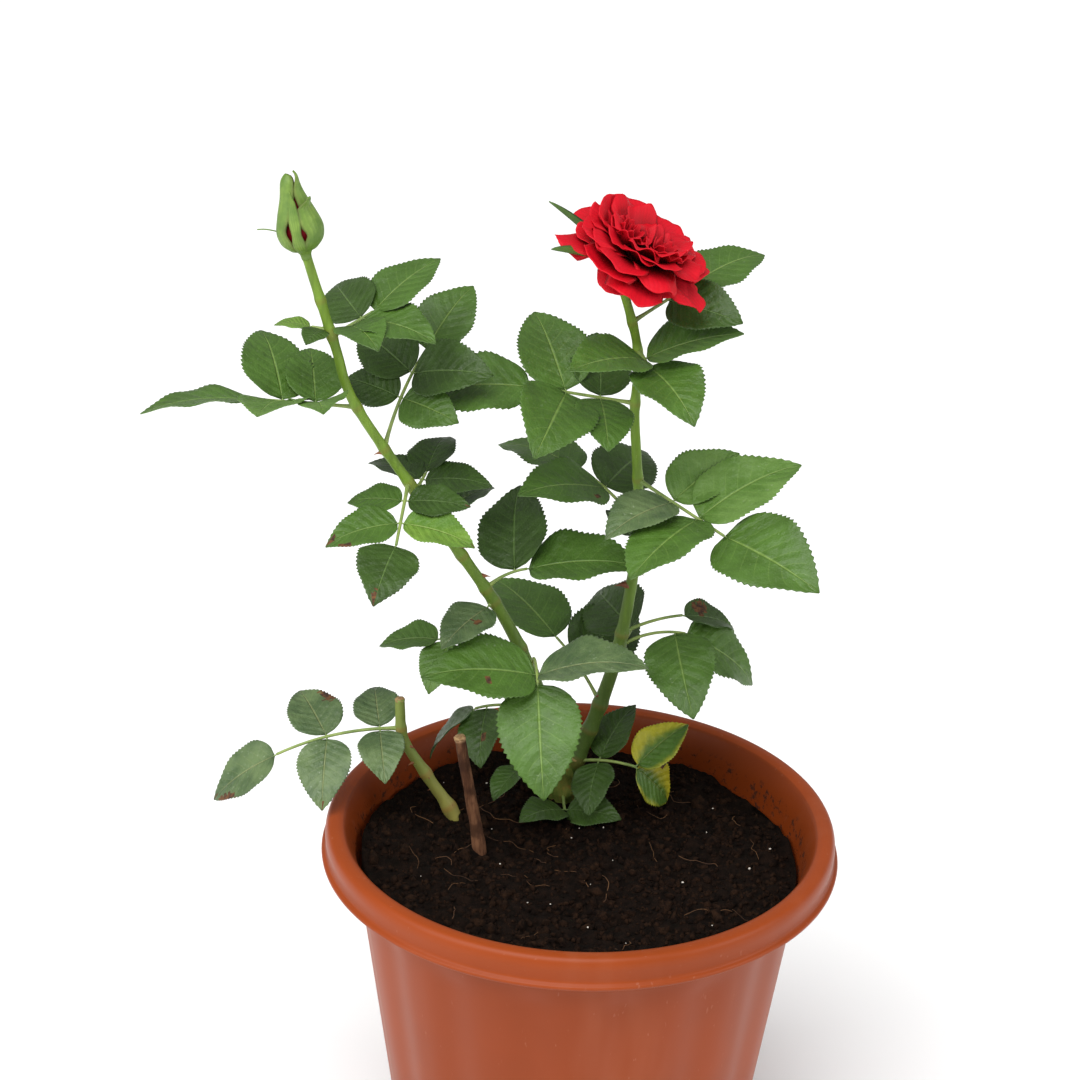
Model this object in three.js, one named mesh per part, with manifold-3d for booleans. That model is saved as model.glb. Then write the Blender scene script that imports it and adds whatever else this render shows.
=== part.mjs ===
// A rose bush in its terracotta-coloured plastic pot: two leafy canes on one graft union,
// one ending in an open bloom and one in a bud, two cut stubs, and the compost they stand in.
// Millimetres, +Z up. The origin is the centre of the pot's flat underside.

import * as THREE from 'three';
import { mergeVertices } from 'three/addons/utils/BufferGeometryUtils.js';
import Module from 'manifold-3d';

const wasm = await Module();
wasm.setup();

// ---- driving dimensions -------------------------------------------------------------

const GAP = 0.3;                  // room left between pieces that touch

const POT_HEIGHT = 200;
const LIP_RADIUS = 120;           // the small flare at the bottom of the rim band
const BAND_RADIUS = 119;          // the rim band's outer face
const MOUTH_RADIUS = 108.5;       // the rim's inner edge
const BAND_HEIGHT = 15;
const WALL = 3;
const WALL_TOP_RADIUS = 106;      // outer wall just under the rim band
const WALL_SLOPE = 0.14;          // how fast the wall narrows on its way down
const FLOOR = 3;                  // thickness of the pot's bottom
const FLUTES = 16;
const FLUTE_DEPTH = 1.6;
const COLLAR = 10;                // plain stretch of wall between the band and the flutes
const POT_SIDES = 48;

const COMPOST_TOP = 182;
const COMPOST_SIDES = 32;

const CANE_SIDES = 7;
const TAPER = 2;                  // power of a stem's taper: most of it lies near the foot
const CANE_STEP = 12;             // length of one segment along a cane
const STALK_SIDES = 4;
const STALK_RADIUS = 0.9;
const STALK_STEP = 7;

const LEAFLET_WIDTH = 0.66;       // width over length
const LEAFLET_THICK = 1.6;        // through the midrib; the edges run out thin
const LEAFLET_FOLD = 0.12;        // how far the edges lift beside the midrib, over width
const LEAFLET_SAG = 0.05;         // how far the middle stands above base and tip, over length
const SIDE_TURN = 60;             // a side leaflet's turn off the stalk, in degrees, nearest the tip,
const TURN_STEP = 15;             // and what each joint further back adds to it
const SHORTER = 0.06;             // lost length, over size, times the square of the joints to the tip
const JOINT_GAP = 0.3;            // stretch between joints over the leaf's size
const UNEVEN = { turn: 8, lift: 8, tilt: 12, length: 0.06 };
const NECK = 1.2;                 // from a stem's end to the foot of its flower
const LEAFLET_END = 0.6;          // half width left at the very base and tip
const LEAFLET_STATIONS = [0, 0.16, 0.45, 0.76, 1];

// ---- the plant ------------------------------------------------------------------------

// Stems, from below the compost up: the points that each passes through, and its radius
// at the foot and at the top.
const STEMS = {
  graft: { points: [[-9, 52, 166], [-8, 51, 195], [-3, 50, 207]], radii: [7.5, 5] },
  left: {
    points: [[-8, 50, 190], [-20, 45, 240], [-40, 34, 290], [-72, 20, 345], [-105, 10, 400],
      [-114, 5, 430], [-126, 2, 472]],
    radii: [3.6, 2.1],
  },
  right: {
    points: [[-5, 50, 198], [5, 50, 225], [16, 48, 268], [22, 42, 330], [18, 35, 390], [18, 32, 422],
      [8, 27, 460]],
    radii: [3.9, 2],
  },
  greenStub: {
    points: [[-57, 28, 166], [-60, 27, 185], [-72, 27, 205], [-84, 28, 225], [-86, 30, 245]],
    radii: [3.7, 2.3],
  },
  brownStub: { points: [[-45, 1, 166], [-48, 2, 190], [-57, 4, 240]], radii: [3.1, 2.6] },
};

// Compound leaves. Each grows on a stem at a height, with a bearing (0 along +X, 90 along
// +Y) and a rise above the level that changes by arch on the way to its tip. Its first
// leaflets stand one stalk from the stem and its end leaflet is as long as size. The
// letters are its leaflets, joint by joint: l and r beside the stalk and t at its end.
// Where they show, roll turns its right side up about the stalk, cup lifts the side
// leaflets, nod lifts the end one, and gap is the stretch from one joint to the next.
const LEAVES = {
  leaf_left_top: {
    on: 'left', at: 435, bearing: 35, rise: 20, stalk: 10, gap: 6, size: 42, leaflets: 'r lr t', nod: 5,
  },
  leaf_left_young: {
    on: 'left', at: 438, bearing: 180, rise: 10, stalk: 4, gap: 4, size: 17, leaflets: 'l t',
  },
  leaf_left_arm: {
    on: 'left', at: 400, bearing: 185, rise: 5, stalk: 18, size: 48, leaflets: 'lr lr t', cup: 20, nod: -15,
  },
  leaf_left_tall: {
    on: 'left', at: 379, bearing: 60, rise: 65, arch: -35, stalk: 24, size: 42, leaflets: 'lr lr t',
  },
  leaf_left_back: {
    on: 'left', at: 357, bearing: 75, rise: 10, stalk: 10, gap: 5, size: 33, leaflets: 'lr t',
  },
  leaf_left_front: {
    on: 'left', at: 362, bearing: 265, rise: -20, stalk: 12, gap: 14, size: 38, leaflets: 'lr lr t', cup: -10,
  },
  leaf_left_burnt: { on: 'left', at: 344, bearing: 35, rise: 10, stalk: 7, size: 29, leaflets: 't' },
  leaf_middle_long: {
    on: 'left', at: 303, bearing: 0, rise: 50, arch: -40, stalk: 16, gap: 6, size: 54, leaflets: 'l t',
    roll: -15, cup: 10,
  },
  leaf_left_low: { on: 'left', at: 296, bearing: 235, rise: -10, stalk: 4, size: 33, leaflets: 't' },
  leaf_left_strip: {
    on: 'left', at: 269, bearing: 170, rise: 0, stalk: 33, gap: 5, size: 32, leaflets: 'l t',
    cup: -40, nod: -10,
  },
  leaf_left_hanging: {
    on: 'left', at: 229, bearing: 170, rise: 25, arch: -50, stalk: 30, gap: 6, size: 34, leaflets: 'l t',
    cup: -40, nod: -25,
  },
  leaf_left_foot: {
    on: 'left', at: 205, bearing: 230, rise: 25, arch: -20, stalk: 27, size: 25, leaflets: 't', nod: -20,
  },
  leaf_front_broad: {
    on: 'left', at: 255, bearing: 275, rise: 65, arch: -90, stalk: 40, gap: 5, size: 56, leaflets: 'lr t',
    cup: 15, nod: -15,
  },
  leaf_right_top: {
    on: 'right', at: 422, bearing: 290, rise: 0, arch: -20, stalk: 8, gap: 5, size: 48, leaflets: 'lr t',
    cup: 15, nod: 15,
  },
  leaf_right_behind: {
    on: 'right', at: 436, bearing: 35, rise: 20, stalk: 20, size: 40, leaflets: 'lr t', roll: -20, cup: 10,
  },
  leaf_right_arm: {
    on: 'right', at: 396, bearing: 185, rise: 10, stalk: 16, size: 52, leaflets: 'lr lr t', roll: 20, cup: 5,
    nod: -15,
  },
  leaf_right_large: {
    on: 'right', at: 357, bearing: 315, rise: -10, stalk: 22, size: 54, leaflets: 'lr lr t', roll: -20,
    cup: 10, nod: 5,
  },
  leaf_right_back: {
    on: 'right', at: 332, bearing: 145, rise: 45, arch: -30, stalk: 24, size: 48, leaflets: 'lr t', nod: -10,
  },
  leaf_right_small: { on: 'right', at: 323, bearing: 135, rise: 25, stalk: 4, size: 20, leaflets: 't' },
  leaf_right_low: {
    on: 'right', at: 266, bearing: 0, rise: 40, arch: -50, stalk: 28, gap: 5, size: 50, leaflets: 'r t',
    roll: -30, cup: -5, nod: -25,
  },
  leaf_right_low_back: {
    on: 'right', at: 274, bearing: 15, rise: 25, arch: -25, stalk: 30, size: 30, leaflets: 't', nod: -20,
  },
  leaf_middle_low: {
    on: 'right', at: 235, bearing: 130, rise: 45, arch: -25, stalk: 25, size: 50, leaflets: 'r t',
  },
  leaf_middle_back: {
    on: 'right', at: 262, bearing: 60, rise: 30, stalk: 16, size: 46, leaflets: 'l', cup: -20,
  },
  leaf_stub: {
    on: 'greenStub', at: 230, bearing: 190, rise: 5, arch: -30, stalk: 10, gap: 25, size: 40,
    leaflets: 'lr lr t', roll: 25, cup: -5, nod: -25,
  },
  leaf_foot_yellowing: {
    on: 'right', at: 203, bearing: 330, rise: 25, arch: -25, stalk: 14, gap: 20, size: 34, leaflets: 'lr lt',
    roll: -35, nod: -75,
  },
  leaf_sucker: {
    on: 'graft', at: 189, bearing: 275, rise: -15, stalk: 16, size: 29, leaflets: 'lr', cup: 15,
  },
};

// The bloom and the bud, each as radii along its own axis: [distance from the neck, radius].
const BLOOM = {
  on: 'right', lean: [0.44, -0.15, 0.885], sides: 20, lobes: 5, wave: 0.07,
  outline: [[0, 2.6], [3, 5], [5, 13], [7, 27], [12, 36], [17, 33], [22, 23], [25, 11]],
};
const BUD = {
  on: 'left', lean: [-0.21, 0, 0.978], sides: 14, lobes: 5, wave: 0.05,
  outline: [[0, 2.2], [4, 6.5], [10, 10], [18, 8.6], [26, 4.6], [33, 2.4], [37, 0.8]],
};

const COLOURS = {
  pot: [0xa85a38, 0.45], compost: [0x1c120c, 0.95], stem: [0x7d9b3c, 0.6], wood: [0x6b4a30, 0.9],
  leaf: [0x4b6e37, 0.55], petal: [0xc8142a, 0.6], bud: [0x6f9440, 0.55],
};

// ---- solids ----------------------------------------------------------------------------

const radians = (degrees) => degrees * Math.PI / 180;

// A closed solid through a row of rings with equal counts of points, each running
// anticlockwise about the way of travel, with a fan to the middle of each end ring.
function loft(rings) {
  const sides = rings[0].length;
  const middle = (ring) => ring.reduce((sum, p) => sum.add(p), new THREE.Vector3()).divideScalar(sides);
  const points = [...rings.flat(), middle(rings[0]), middle(rings.at(-1))];
  const faces = [];
  for (let side = 0; side < sides; side++) {
    const next = (side + 1) % sides;
    for (let ring = 0; ring + 1 < rings.length; ring++) {
      const here = ring * sides;
      const above = here + sides;
      faces.push(here + side, here + next, above + next, here + side, above + next, above + side);
    }
    const last = (rings.length - 1) * sides;
    faces.push(rings.length * sides, next, side, rings.length * sides + 1, last + side, last + next);
  }
  const geometry = new THREE.BufferGeometry();
  geometry.setAttribute('position', new THREE.Float32BufferAttribute(points.flatMap((p) => p.toArray()), 3));
  geometry.setIndex(faces);
  return geometry;
}

function toManifold(geometry) {
  const merged = mergeVertices(geometry, 1e-4);
  return new wasm.Manifold(new wasm.Mesh({
    numProp: 3,
    vertProperties: new Float32Array(merged.attributes.position.array),
    triVerts: new Uint32Array(merged.index.array),
  }));
}

function toGeometry(manifold) {
  const { vertProperties, triVerts } = manifold.getMesh();
  const geometry = new THREE.BufferGeometry();
  geometry.setAttribute('position', new THREE.BufferAttribute(vertProperties, 3));
  geometry.setIndex(new THREE.BufferAttribute(triVerts, 1));
  geometry.computeVertexNormals();
  return geometry;
}

const join = (parts) => parts.reduce((whole, part) => whole.add(part));

// What is left of a solid when its neighbours are taken out: its largest piece.
function trim(solid, neighbours) {
  const left = neighbours.reduce((whole, neighbour) => whole.subtract(neighbour), solid);
  return left.decompose().reduce((best, piece) => (piece.volume() > best.volume() ? piece : best));
}

// A unit vector from a bearing and a rise in degrees.
function heading(bearing, rise) {
  const level = Math.cos(radians(rise));
  return new THREE.Vector3(
    level * Math.cos(radians(bearing)), level * Math.sin(radians(bearing)), Math.sin(radians(rise)));
}

// ---- pot and compost ---------------------------------------------------------------------

const level = (radius, z, sides, shape = () => [0, 0]) => Array.from({ length: sides }, (_, side) => {
  const angle = 2 * Math.PI * side / sides;
  const [out, up] = shape(angle, radius);
  return new THREE.Vector3((radius + out) * Math.cos(angle), (radius + out) * Math.sin(angle), z + up);
});

const bandFoot = POT_HEIGHT - BAND_HEIGHT;
const outerWall = (z) => WALL_TOP_RADIUS - WALL_SLOPE * (bandFoot - z);

// The pot's section from the middle of its underside, up the fluted wall, over the rim
// and down the inside to the floor. Each ring is [radius, z, share of the flutes' depth].
function pot() {
  const section = [
    [outerWall(0) - 1.5, 0, 0], [outerWall(0), 1.5, 0],
    [outerWall(8), 8, 1], [outerWall(bandFoot - 2 * COLLAR), bandFoot - 2 * COLLAR, 1],
    [outerWall(bandFoot - COLLAR), bandFoot - COLLAR, 0], [WALL_TOP_RADIUS, bandFoot, 0],
    [LIP_RADIUS, bandFoot, 0], [LIP_RADIUS, bandFoot + 1.8, 0], [BAND_RADIUS, bandFoot + 4, 0],
    [BAND_RADIUS, POT_HEIGHT - 4, 0], [BAND_RADIUS - 2, POT_HEIGHT - 0.8, 0],
    [BAND_RADIUS - 5, POT_HEIGHT, 0], [MOUTH_RADIUS + 2, POT_HEIGHT - 0.6, 0],
    [MOUTH_RADIUS, POT_HEIGHT - 3, 0], [WALL_TOP_RADIUS - WALL, bandFoot - 1, 0],
    [outerWall(FLOOR) - WALL, FLOOR, 0],
  ];
  const flute = (share) => (angle) => [-FLUTE_DEPTH * share * (0.5 - 0.5 * Math.cos(FLUTES * angle)), 0];
  return loft(section.map(([radius, z, share]) => level(radius, z, POT_SIDES, flute(share))));
}

// The compost fills the pot to a loose, uneven top that stands higher on the left.
function compost() {
  const crumbly = (angle, radius) => {
    const x = radius * Math.cos(angle);
    const y = radius * Math.sin(angle);
    return [0, -0.035 * x + 1.6 * Math.sin(x / 13 + 1) * Math.cos(y / 17) + 1.2 * Math.sin((x - 2 * y) / 23)];
  };
  const edge = outerWall(COMPOST_TOP) - WALL - 2 * GAP;
  const top = [1, 0.86, 0.66, 0.44, 0.22, 0.08].map((share) => {
    const radius = share === 1 ? edge - 1 : edge * share;
    return level(radius, share === 1 ? COMPOST_TOP - 2 : COMPOST_TOP, COMPOST_SIDES, crumbly);
  });
  const foot = level(outerWall(FLOOR) - WALL - 2 * GAP, FLOOR + GAP, COMPOST_SIDES);
  return loft([foot, ...top]);
}

// ---- stems and leaves --------------------------------------------------------------------

// Rings of a round section carried along a path of points, with the radius at each.
function tube(path, radii, sides) {
  return loft(path.map((point, i) => {
    const along = path[Math.min(i + 1, path.length - 1)].clone().sub(path[Math.max(i - 1, 0)]).normalize();
    const side = Math.abs(along.z) > 0.6 ? new THREE.Vector3(1, 0, 0) : new THREE.Vector3(0, 0, 1);
    side.addScaledVector(along, -side.dot(along)).normalize();
    const other = along.clone().cross(side);
    return Array.from({ length: sides }, (_, k) => {
      const angle = 2 * Math.PI * k / sides;
      return point.clone().addScaledVector(side, radii[i] * Math.cos(angle))
        .addScaledVector(other, radii[i] * Math.sin(angle));
    });
  }));
}

function stemCurve(name) {
  const points = STEMS[name].points.map((p) => new THREE.Vector3(...p));
  return new THREE.CatmullRomCurve3(points, false, 'catmullrom', 0.5);
}

function stem(name, grow = 0) {
  const curve = stemCurve(name);
  const path = curve.getSpacedPoints(Math.round(curve.getLength() / CANE_STEP));
  const [foot, top] = STEMS[name].radii;
  const toTop = (i) => (1 - i / (path.length - 1)) ** TAPER;
  const radii = path.map((_, i) => THREE.MathUtils.lerp(top, foot, toTop(i)) + grow);
  return toManifold(tube(path, radii, CANE_SIDES));
}

// The point of a stem's centre line at a height.
function pointOnStem(name, height) {
  const path = stemCurve(name).getPoints(400);
  return path.reduce((best, p) => (Math.abs(p.z - height) < Math.abs(best.z - height) ? p : best));
}

// Half the width of a leaflet at share s of its length: round at the base, widest at
// two fifths and drawn out to the tip, as sqrt(s) times (1 - s) to the three quarters.
function halfWidth(s, length) {
  const shape = Math.sqrt(s / 0.4) * ((1 - s) / 0.6) ** 0.75;
  return Math.max(LEAFLET_END, shape * LEAFLET_WIDTH * length / 2);
}

// A leaflet blade as a thin solid: sections of four points, left edge, underside, right
// edge and upper side, that fold up beside the midrib and arch between base and tip.
function blade(base, along, across, normal, length, grow) {
  return toManifold(loft(LEAFLET_STATIONS.map((s) => {
    const half = halfWidth(s, length) + grow;
    const thick = LEAFLET_THICK / 2 * (1 - 0.5 * s) + grow;
    const middle = base.clone().addScaledVector(along, s * length)
      .addScaledVector(normal, 4 * LEAFLET_SAG * length * s * (1 - s));
    const lift = LEAFLET_FOLD * half;
    return [[half, lift], [0, thick], [-half, lift], [0, -thick]].map(([sideways, up]) => (
      middle.clone().addScaledVector(across, sideways).addScaledVector(normal, up)));
  })));
}

// A repeatable number from -1 to 1 for each whole number.
function uneven(n) {
  const x = Math.abs(Math.sin(n * 12.9898) * 43758.5453);
  return 2 * (x - Math.floor(x)) - 1;
}

// The stalk's path from the stem to the leaf's tip, and the joints that leaflets grow from.
function stalk({ on, at, bearing, rise, arch = 0, roll = 0, size, stalk: first, gap: given, leaflets }) {
  const gap = given ?? JOINT_GAP * size;
  const total = first + gap * (leaflets.split(' ').length - 1);
  const steps = Math.ceil(total / STALK_STEP);
  const path = [pointOnStem(on, at)];
  for (let i = 0; i < steps; i++) {
    const onward = heading(bearing, rise + arch * (i + 0.5) / steps);
    path.push(path.at(-1).clone().addScaledVector(onward, total / steps));
  }
  const curve = new THREE.CatmullRomCurve3(path);
  const joint = (index) => {
    const share = Math.min(1, (first + gap * index) / total);
    const along = heading(bearing, rise + arch * share);
    const side = heading(bearing + 90, 0).applyAxisAngle(along, -radians(roll));
    return { point: curve.getPointAt(share), along, up: along.clone().cross(side) };
  };
  return { path, joint };
}

// The leaflets of a compound leaf by its rule: the further a pair stands from the tip, the
// more it turns off the stalk and the shorter it is, and no two are quite alike.
function leafletsOf({ leaflets, size, cup = 0, nod = 0 }, seed) {
  const joints = leaflets.split(' ');
  return joints.flatMap((letters, joint) => [...letters].map((letter, k) => {
    const behind = joints.length - 1 - joint;
    const n = seed * 40 + joint * 8 + k * 4;
    const sign = { l: 1, r: -1, t: 0 }[letter];
    return {
      joint,
      turn: sign * (SIDE_TURN + TURN_STEP * behind) + UNEVEN.turn * uneven(n),
      lift: (sign ? cup : nod) + UNEVEN.lift * uneven(n + 1),
      tilt: UNEVEN.tilt * uneven(n + 2),
      length: size * (1 - SHORTER * behind ** 2) * (1 + UNEVEN.length * uneven(n + 3)),
    };
  }));
}

function leaf(spec, seed, grow = 0) {
  const { path, joint: jointAt } = stalk(spec);
  const radii = path.map(() => STALK_RADIUS + grow);
  const blades = leafletsOf(spec, seed).map(({ joint, turn, lift, tilt, length }) => {
    const { point, along, up } = jointAt(joint);
    const flat = along.clone().applyAxisAngle(up, radians(turn));
    const across = up.clone().cross(flat);
    const midrib = flat.clone().applyAxisAngle(across, -radians(lift));
    const normal = midrib.clone().cross(across);
    across.applyAxisAngle(midrib, radians(tilt));
    normal.applyAxisAngle(midrib, radians(tilt));
    return blade(point, midrib, across, normal, length, grow);
  });
  return join([toManifold(tube(path, radii, STALK_SIDES)), ...blades]);
}

// ---- bloom and bud -----------------------------------------------------------------------

// A lobed solid of revolution about a leaning axis.
function flower({ on, lean, sides, lobes, wave, outline }, grow = 0) {
  const curve = stemCurve(on);
  const neck = curve.getPoint(1).addScaledVector(curve.getTangent(1), NECK);
  const axis = new THREE.Vector3(...lean).normalize();
  const turn = new THREE.Quaternion().setFromUnitVectors(new THREE.Vector3(0, 0, 1), axis);
  return toManifold(loft(outline.map(([distance, radius], i) => {
    const share = wave * Math.min(1, radius / 10);
    const lobed = (angle) => [radius * share * Math.sin(lobes * angle + 2 * i) + grow, 0];
    const ring = level(radius, distance, sides, lobed);
    return ring.map((p) => p.applyQuaternion(turn).add(neck));
  })));
}

// ---- assembly ----------------------------------------------------------------------------

const group = new THREE.Group();
const placed = [];                // what later pieces are cut back from

function add(name, solid, look, grown) {
  const [color, roughness] = COLOURS[look];
  const mesh = new THREE.Mesh(solid, new THREE.MeshStandardMaterial({ color, roughness, metalness: 0 }));
  mesh.name = name;
  group.add(mesh);
  if (grown) placed.push(grown);
}

const stemNodes = [
  ['graft_union', 'graft', 'wood'], ['right_cane', 'right', 'stem'], ['left_cane', 'left', 'stem'],
  ['green_stub', 'greenStub', 'stem'], ['brown_stub', 'brownStub', 'wood'],
];

add('pot', pot(), 'pot');
const grownStems = stemNodes.map(([, stemName]) => stem(stemName, GAP));
add('compost', toGeometry(trim(toManifold(compost()), grownStems)), 'compost');
for (const [name, stemName, look] of stemNodes) {
  add(name, toGeometry(trim(stem(stemName), placed)), look, stem(stemName, GAP));
}
for (const [name, spec, look] of [['bloom', BLOOM, 'petal'], ['bud', BUD, 'bud']]) {
  add(name, toGeometry(trim(flower(spec), placed)), look, flower(spec, GAP));
}
for (const [seed, [name, spec]] of Object.entries(LEAVES).entries()) {
  add(name, toGeometry(trim(leaf(spec, seed), placed)), 'leaf', leaf(spec, seed, GAP));
}

export default group;
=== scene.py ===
"""A rose bush in its pot: two leafy canes on one graft union, one with an open bloom and one
with a bud, two cut stubs, and the compost and fluted pot that they stand in.

Lengths in the plant's tables are millimetres; everything that reaches a mesh is in metres."""

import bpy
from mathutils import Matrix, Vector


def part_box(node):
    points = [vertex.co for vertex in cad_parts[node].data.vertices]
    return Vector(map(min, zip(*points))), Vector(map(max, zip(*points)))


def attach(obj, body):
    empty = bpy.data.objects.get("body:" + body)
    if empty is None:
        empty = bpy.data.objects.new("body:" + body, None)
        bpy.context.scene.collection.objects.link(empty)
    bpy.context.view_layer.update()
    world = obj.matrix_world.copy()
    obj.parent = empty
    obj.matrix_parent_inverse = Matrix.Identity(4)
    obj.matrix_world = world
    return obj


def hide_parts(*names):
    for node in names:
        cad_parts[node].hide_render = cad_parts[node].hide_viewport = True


bl_info = {
    "name": "Potted Rose Bush",
    "version": (1, 0, 0),
    "blender": (4, 5, 0),
    "location": "View3D > Sidebar > Rose Bush",
    "description": "Grows a rose bush with one bloom and one bud in a fluted plastic pot",
    "category": "Add Mesh",
}

import bpy
import numpy as np
from bpy.props import FloatProperty, FloatVectorProperty, IntProperty, PointerProperty
from mathutils import Matrix, Vector

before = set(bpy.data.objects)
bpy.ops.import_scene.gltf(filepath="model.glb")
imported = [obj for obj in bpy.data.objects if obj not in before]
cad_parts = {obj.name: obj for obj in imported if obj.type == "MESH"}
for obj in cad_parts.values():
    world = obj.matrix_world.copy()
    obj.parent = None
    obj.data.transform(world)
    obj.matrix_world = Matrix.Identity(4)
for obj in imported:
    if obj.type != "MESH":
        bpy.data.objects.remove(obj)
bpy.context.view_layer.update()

MM = 0.001
LIP_RADIUS, _, RIM_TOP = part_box("pot")[1]

# ---- the plant: stems and leaves ----

# Stems from below the compost up: the points each passes through and its radius at foot and top.
STEMS = {
    "graft": ([(-9, 52, 166), (-8, 51, 195), (-3, 50, 207)], (7.5, 5)),
    "left": ([(-8, 50, 190), (-20, 45, 240), (-40, 34, 290), (-72, 20, 345), (-105, 10, 400),
              (-114, 5, 430), (-126, 2, 472)], (3.6, 2.1)),
    "right": ([(-5, 50, 198), (5, 50, 225), (16, 48, 268), (22, 42, 330), (18, 35, 390), (18, 32, 422),
               (8, 27, 460)], (3.9, 2)),
    "greenStub": ([(-57, 28, 166), (-60, 27, 185), (-72, 27, 205), (-84, 28, 225), (-86, 30, 245)],
                  (3.7, 2.3)),
    "brownStub": ([(-45, 1, 166), (-48, 2, 190), (-57, 4, 240)], (3.1, 2.6)),
}

JOINT_GAP = 0.3       # stretch between joints over the leaf's size, unless the leaf has a gap of its own


def grown(on, at, bearing, rise, stalk, size, leaflets, tints, arch=0, gap=None, roll=0, cup=0, nod=0):
    """A compound leaf's measures by name, with its leaflets in a list of joints."""
    return dict(on=on, at=at, bearing=bearing, rise=rise, stalk=stalk, size=size, tints=tints, arch=arch,
                leaflets=leaflets.split(), gap=gap or JOINT_GAP * size, roll=roll, cup=cup, nod=nod)


# Compound leaves: the stem that each grows on and the height, its bearing (0 along +X, 90 along +Y)
# and rise, the lengths of its bare stalk and end leaflet, and its leaflets, joint by joint: l and r
# beside the stalk, t at its end, with a letter for the colour of each. The rise changes by arch on
# the way to the tip, gap is the stretch between joints, roll turns the right side up, cup lifts the
# side leaflets, and nod lifts the end one.
LEAVES = {
    "leaf_left_top": grown("left", 435, 35, 20, 10, 42, "r lr t", "mdmm", gap=6, nod=5),
    "leaf_left_young": grown("left", 438, 180, 10, 4, 17, "l t", "df", gap=4),
    "leaf_left_arm": grown("left", 400, 185, 5, 18, 48, "lr lr t", "pmpmm", cup=20, nod=-15),
    "leaf_left_tall": grown("left", 379, 60, 65, 24, 42, "lr lr t", "dmddm", arch=-35),
    "leaf_left_back": grown("left", 357, 75, 10, 10, 33, "lr t", "ddd", gap=5),
    "leaf_left_front": grown("left", 362, 265, -20, 12, 38, "lr lr t", "dmfmd", gap=14, cup=-10),
    "leaf_left_burnt": grown("left", 344, 35, 10, 7, 29, "t", "o"),
    "leaf_middle_long": grown("left", 303, 0, 50, 16, 54, "l t", "dm", arch=-40, gap=6, roll=-15, cup=10),
    "leaf_left_low": grown("left", 296, 235, -10, 4, 33, "t", "o"),
    "leaf_left_strip": grown("left", 269, 170, 0, 33, 32, "l t", "pm", gap=5, cup=-40, nod=-10),
    "leaf_left_hanging": grown("left", 229, 170, 25, 30, 34, "l t", "dd", arch=-50, gap=6, cup=-40, nod=-25),
    "leaf_left_foot": grown("left", 205, 230, 25, 27, 25, "t", "d", arch=-20, nod=-20),
    "leaf_front_broad": grown("left", 255, 275, 65, 40, 56, "lr t", "omm", arch=-90, gap=5, cup=15, nod=-15),
    "leaf_right_top": grown("right", 422, 290, 0, 8, 48, "lr t", "mmm", arch=-20, gap=5, cup=15, nod=15),
    "leaf_right_behind": grown("right", 436, 35, 20, 20, 40, "lr t", "mdm", roll=-20, cup=10),
    "leaf_right_arm": grown("right", 396, 185, 10, 16, 52, "lr lr t", "mdmmm", roll=20, cup=5, nod=-15),
    "leaf_right_large": grown("right", 357, 315, -10, 22, 54, "lr lr t", "popmm", roll=-20, cup=10, nod=5),
    "leaf_right_back": grown("right", 332, 145, 45, 24, 48, "lr t", "mdm", arch=-30, nod=-10),
    "leaf_right_small": grown("right", 323, 135, 25, 4, 20, "t", "d"),
    "leaf_right_low": grown("right", 266, 0, 40, 28, 50, "r t", "mm", arch=-50, gap=5, roll=-30, cup=-5,
                            nod=-25),
    "leaf_right_low_back": grown("right", 274, 15, 25, 30, 30, "t", "d", arch=-25, nod=-20),
    "leaf_middle_low": grown("right", 235, 130, 45, 25, 50, "r t", "dm", arch=-25),
    "leaf_middle_back": grown("right", 262, 60, 30, 16, 46, "l", "d", cup=-20),
    "leaf_stub": grown("greenStub", 230, 190, 5, 10, 40, "lr lr t", "ooooo", arch=-30, gap=25, roll=25,
                       cup=-5, nod=-25),
    "leaf_foot_yellowing": grown("right", 203, 330, 25, 14, 34, "lr lt", "ddyy", arch=-25, gap=20, roll=-35,
                                 nod=-75),
    "leaf_sucker": grown("graft", 189, 275, -15, 16, 29, "lr", "dd", cup=15),
}

SIDE_TURN = 60        # a side leaflet's turn off the stalk, in degrees, nearest the tip,
TURN_STEP = 15        # and what each joint further back adds to it
SHORTER = 0.06        # lost length, over size, times the square of the joints to the tip
UNEVEN = dict(turn=8, lift=8, tilt=12, length=0.06)
TAPER = 2             # power of a stem's taper: most of it lies near the foot

# Leaves that make up one piece, so that each piece keeps to one part of the plant.
LEAF_PIECES = {
    "left_cane_top_leaves": ["leaf_left_top", "leaf_left_young", "leaf_left_arm", "leaf_left_tall"],
    "left_cane_middle_leaves": ["leaf_left_back", "leaf_left_front", "leaf_left_burnt"],
    "middle_leaves": ["leaf_middle_long", "leaf_left_low", "leaf_front_broad", "leaf_middle_low",
                      "leaf_middle_back"],
    "right_cane_top_leaves": ["leaf_right_top", "leaf_right_behind", "leaf_right_arm"],
    "right_cane_middle_leaves": ["leaf_right_large", "leaf_right_back", "leaf_right_small"],
    "right_cane_low_leaves": ["leaf_right_low", "leaf_right_low_back"],
    "foot_leaves": ["leaf_left_strip", "leaf_left_hanging", "leaf_left_foot", "leaf_foot_yellowing",
                    "leaf_sucker"],
    "stub_leaves": ["leaf_stub"],
}

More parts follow.
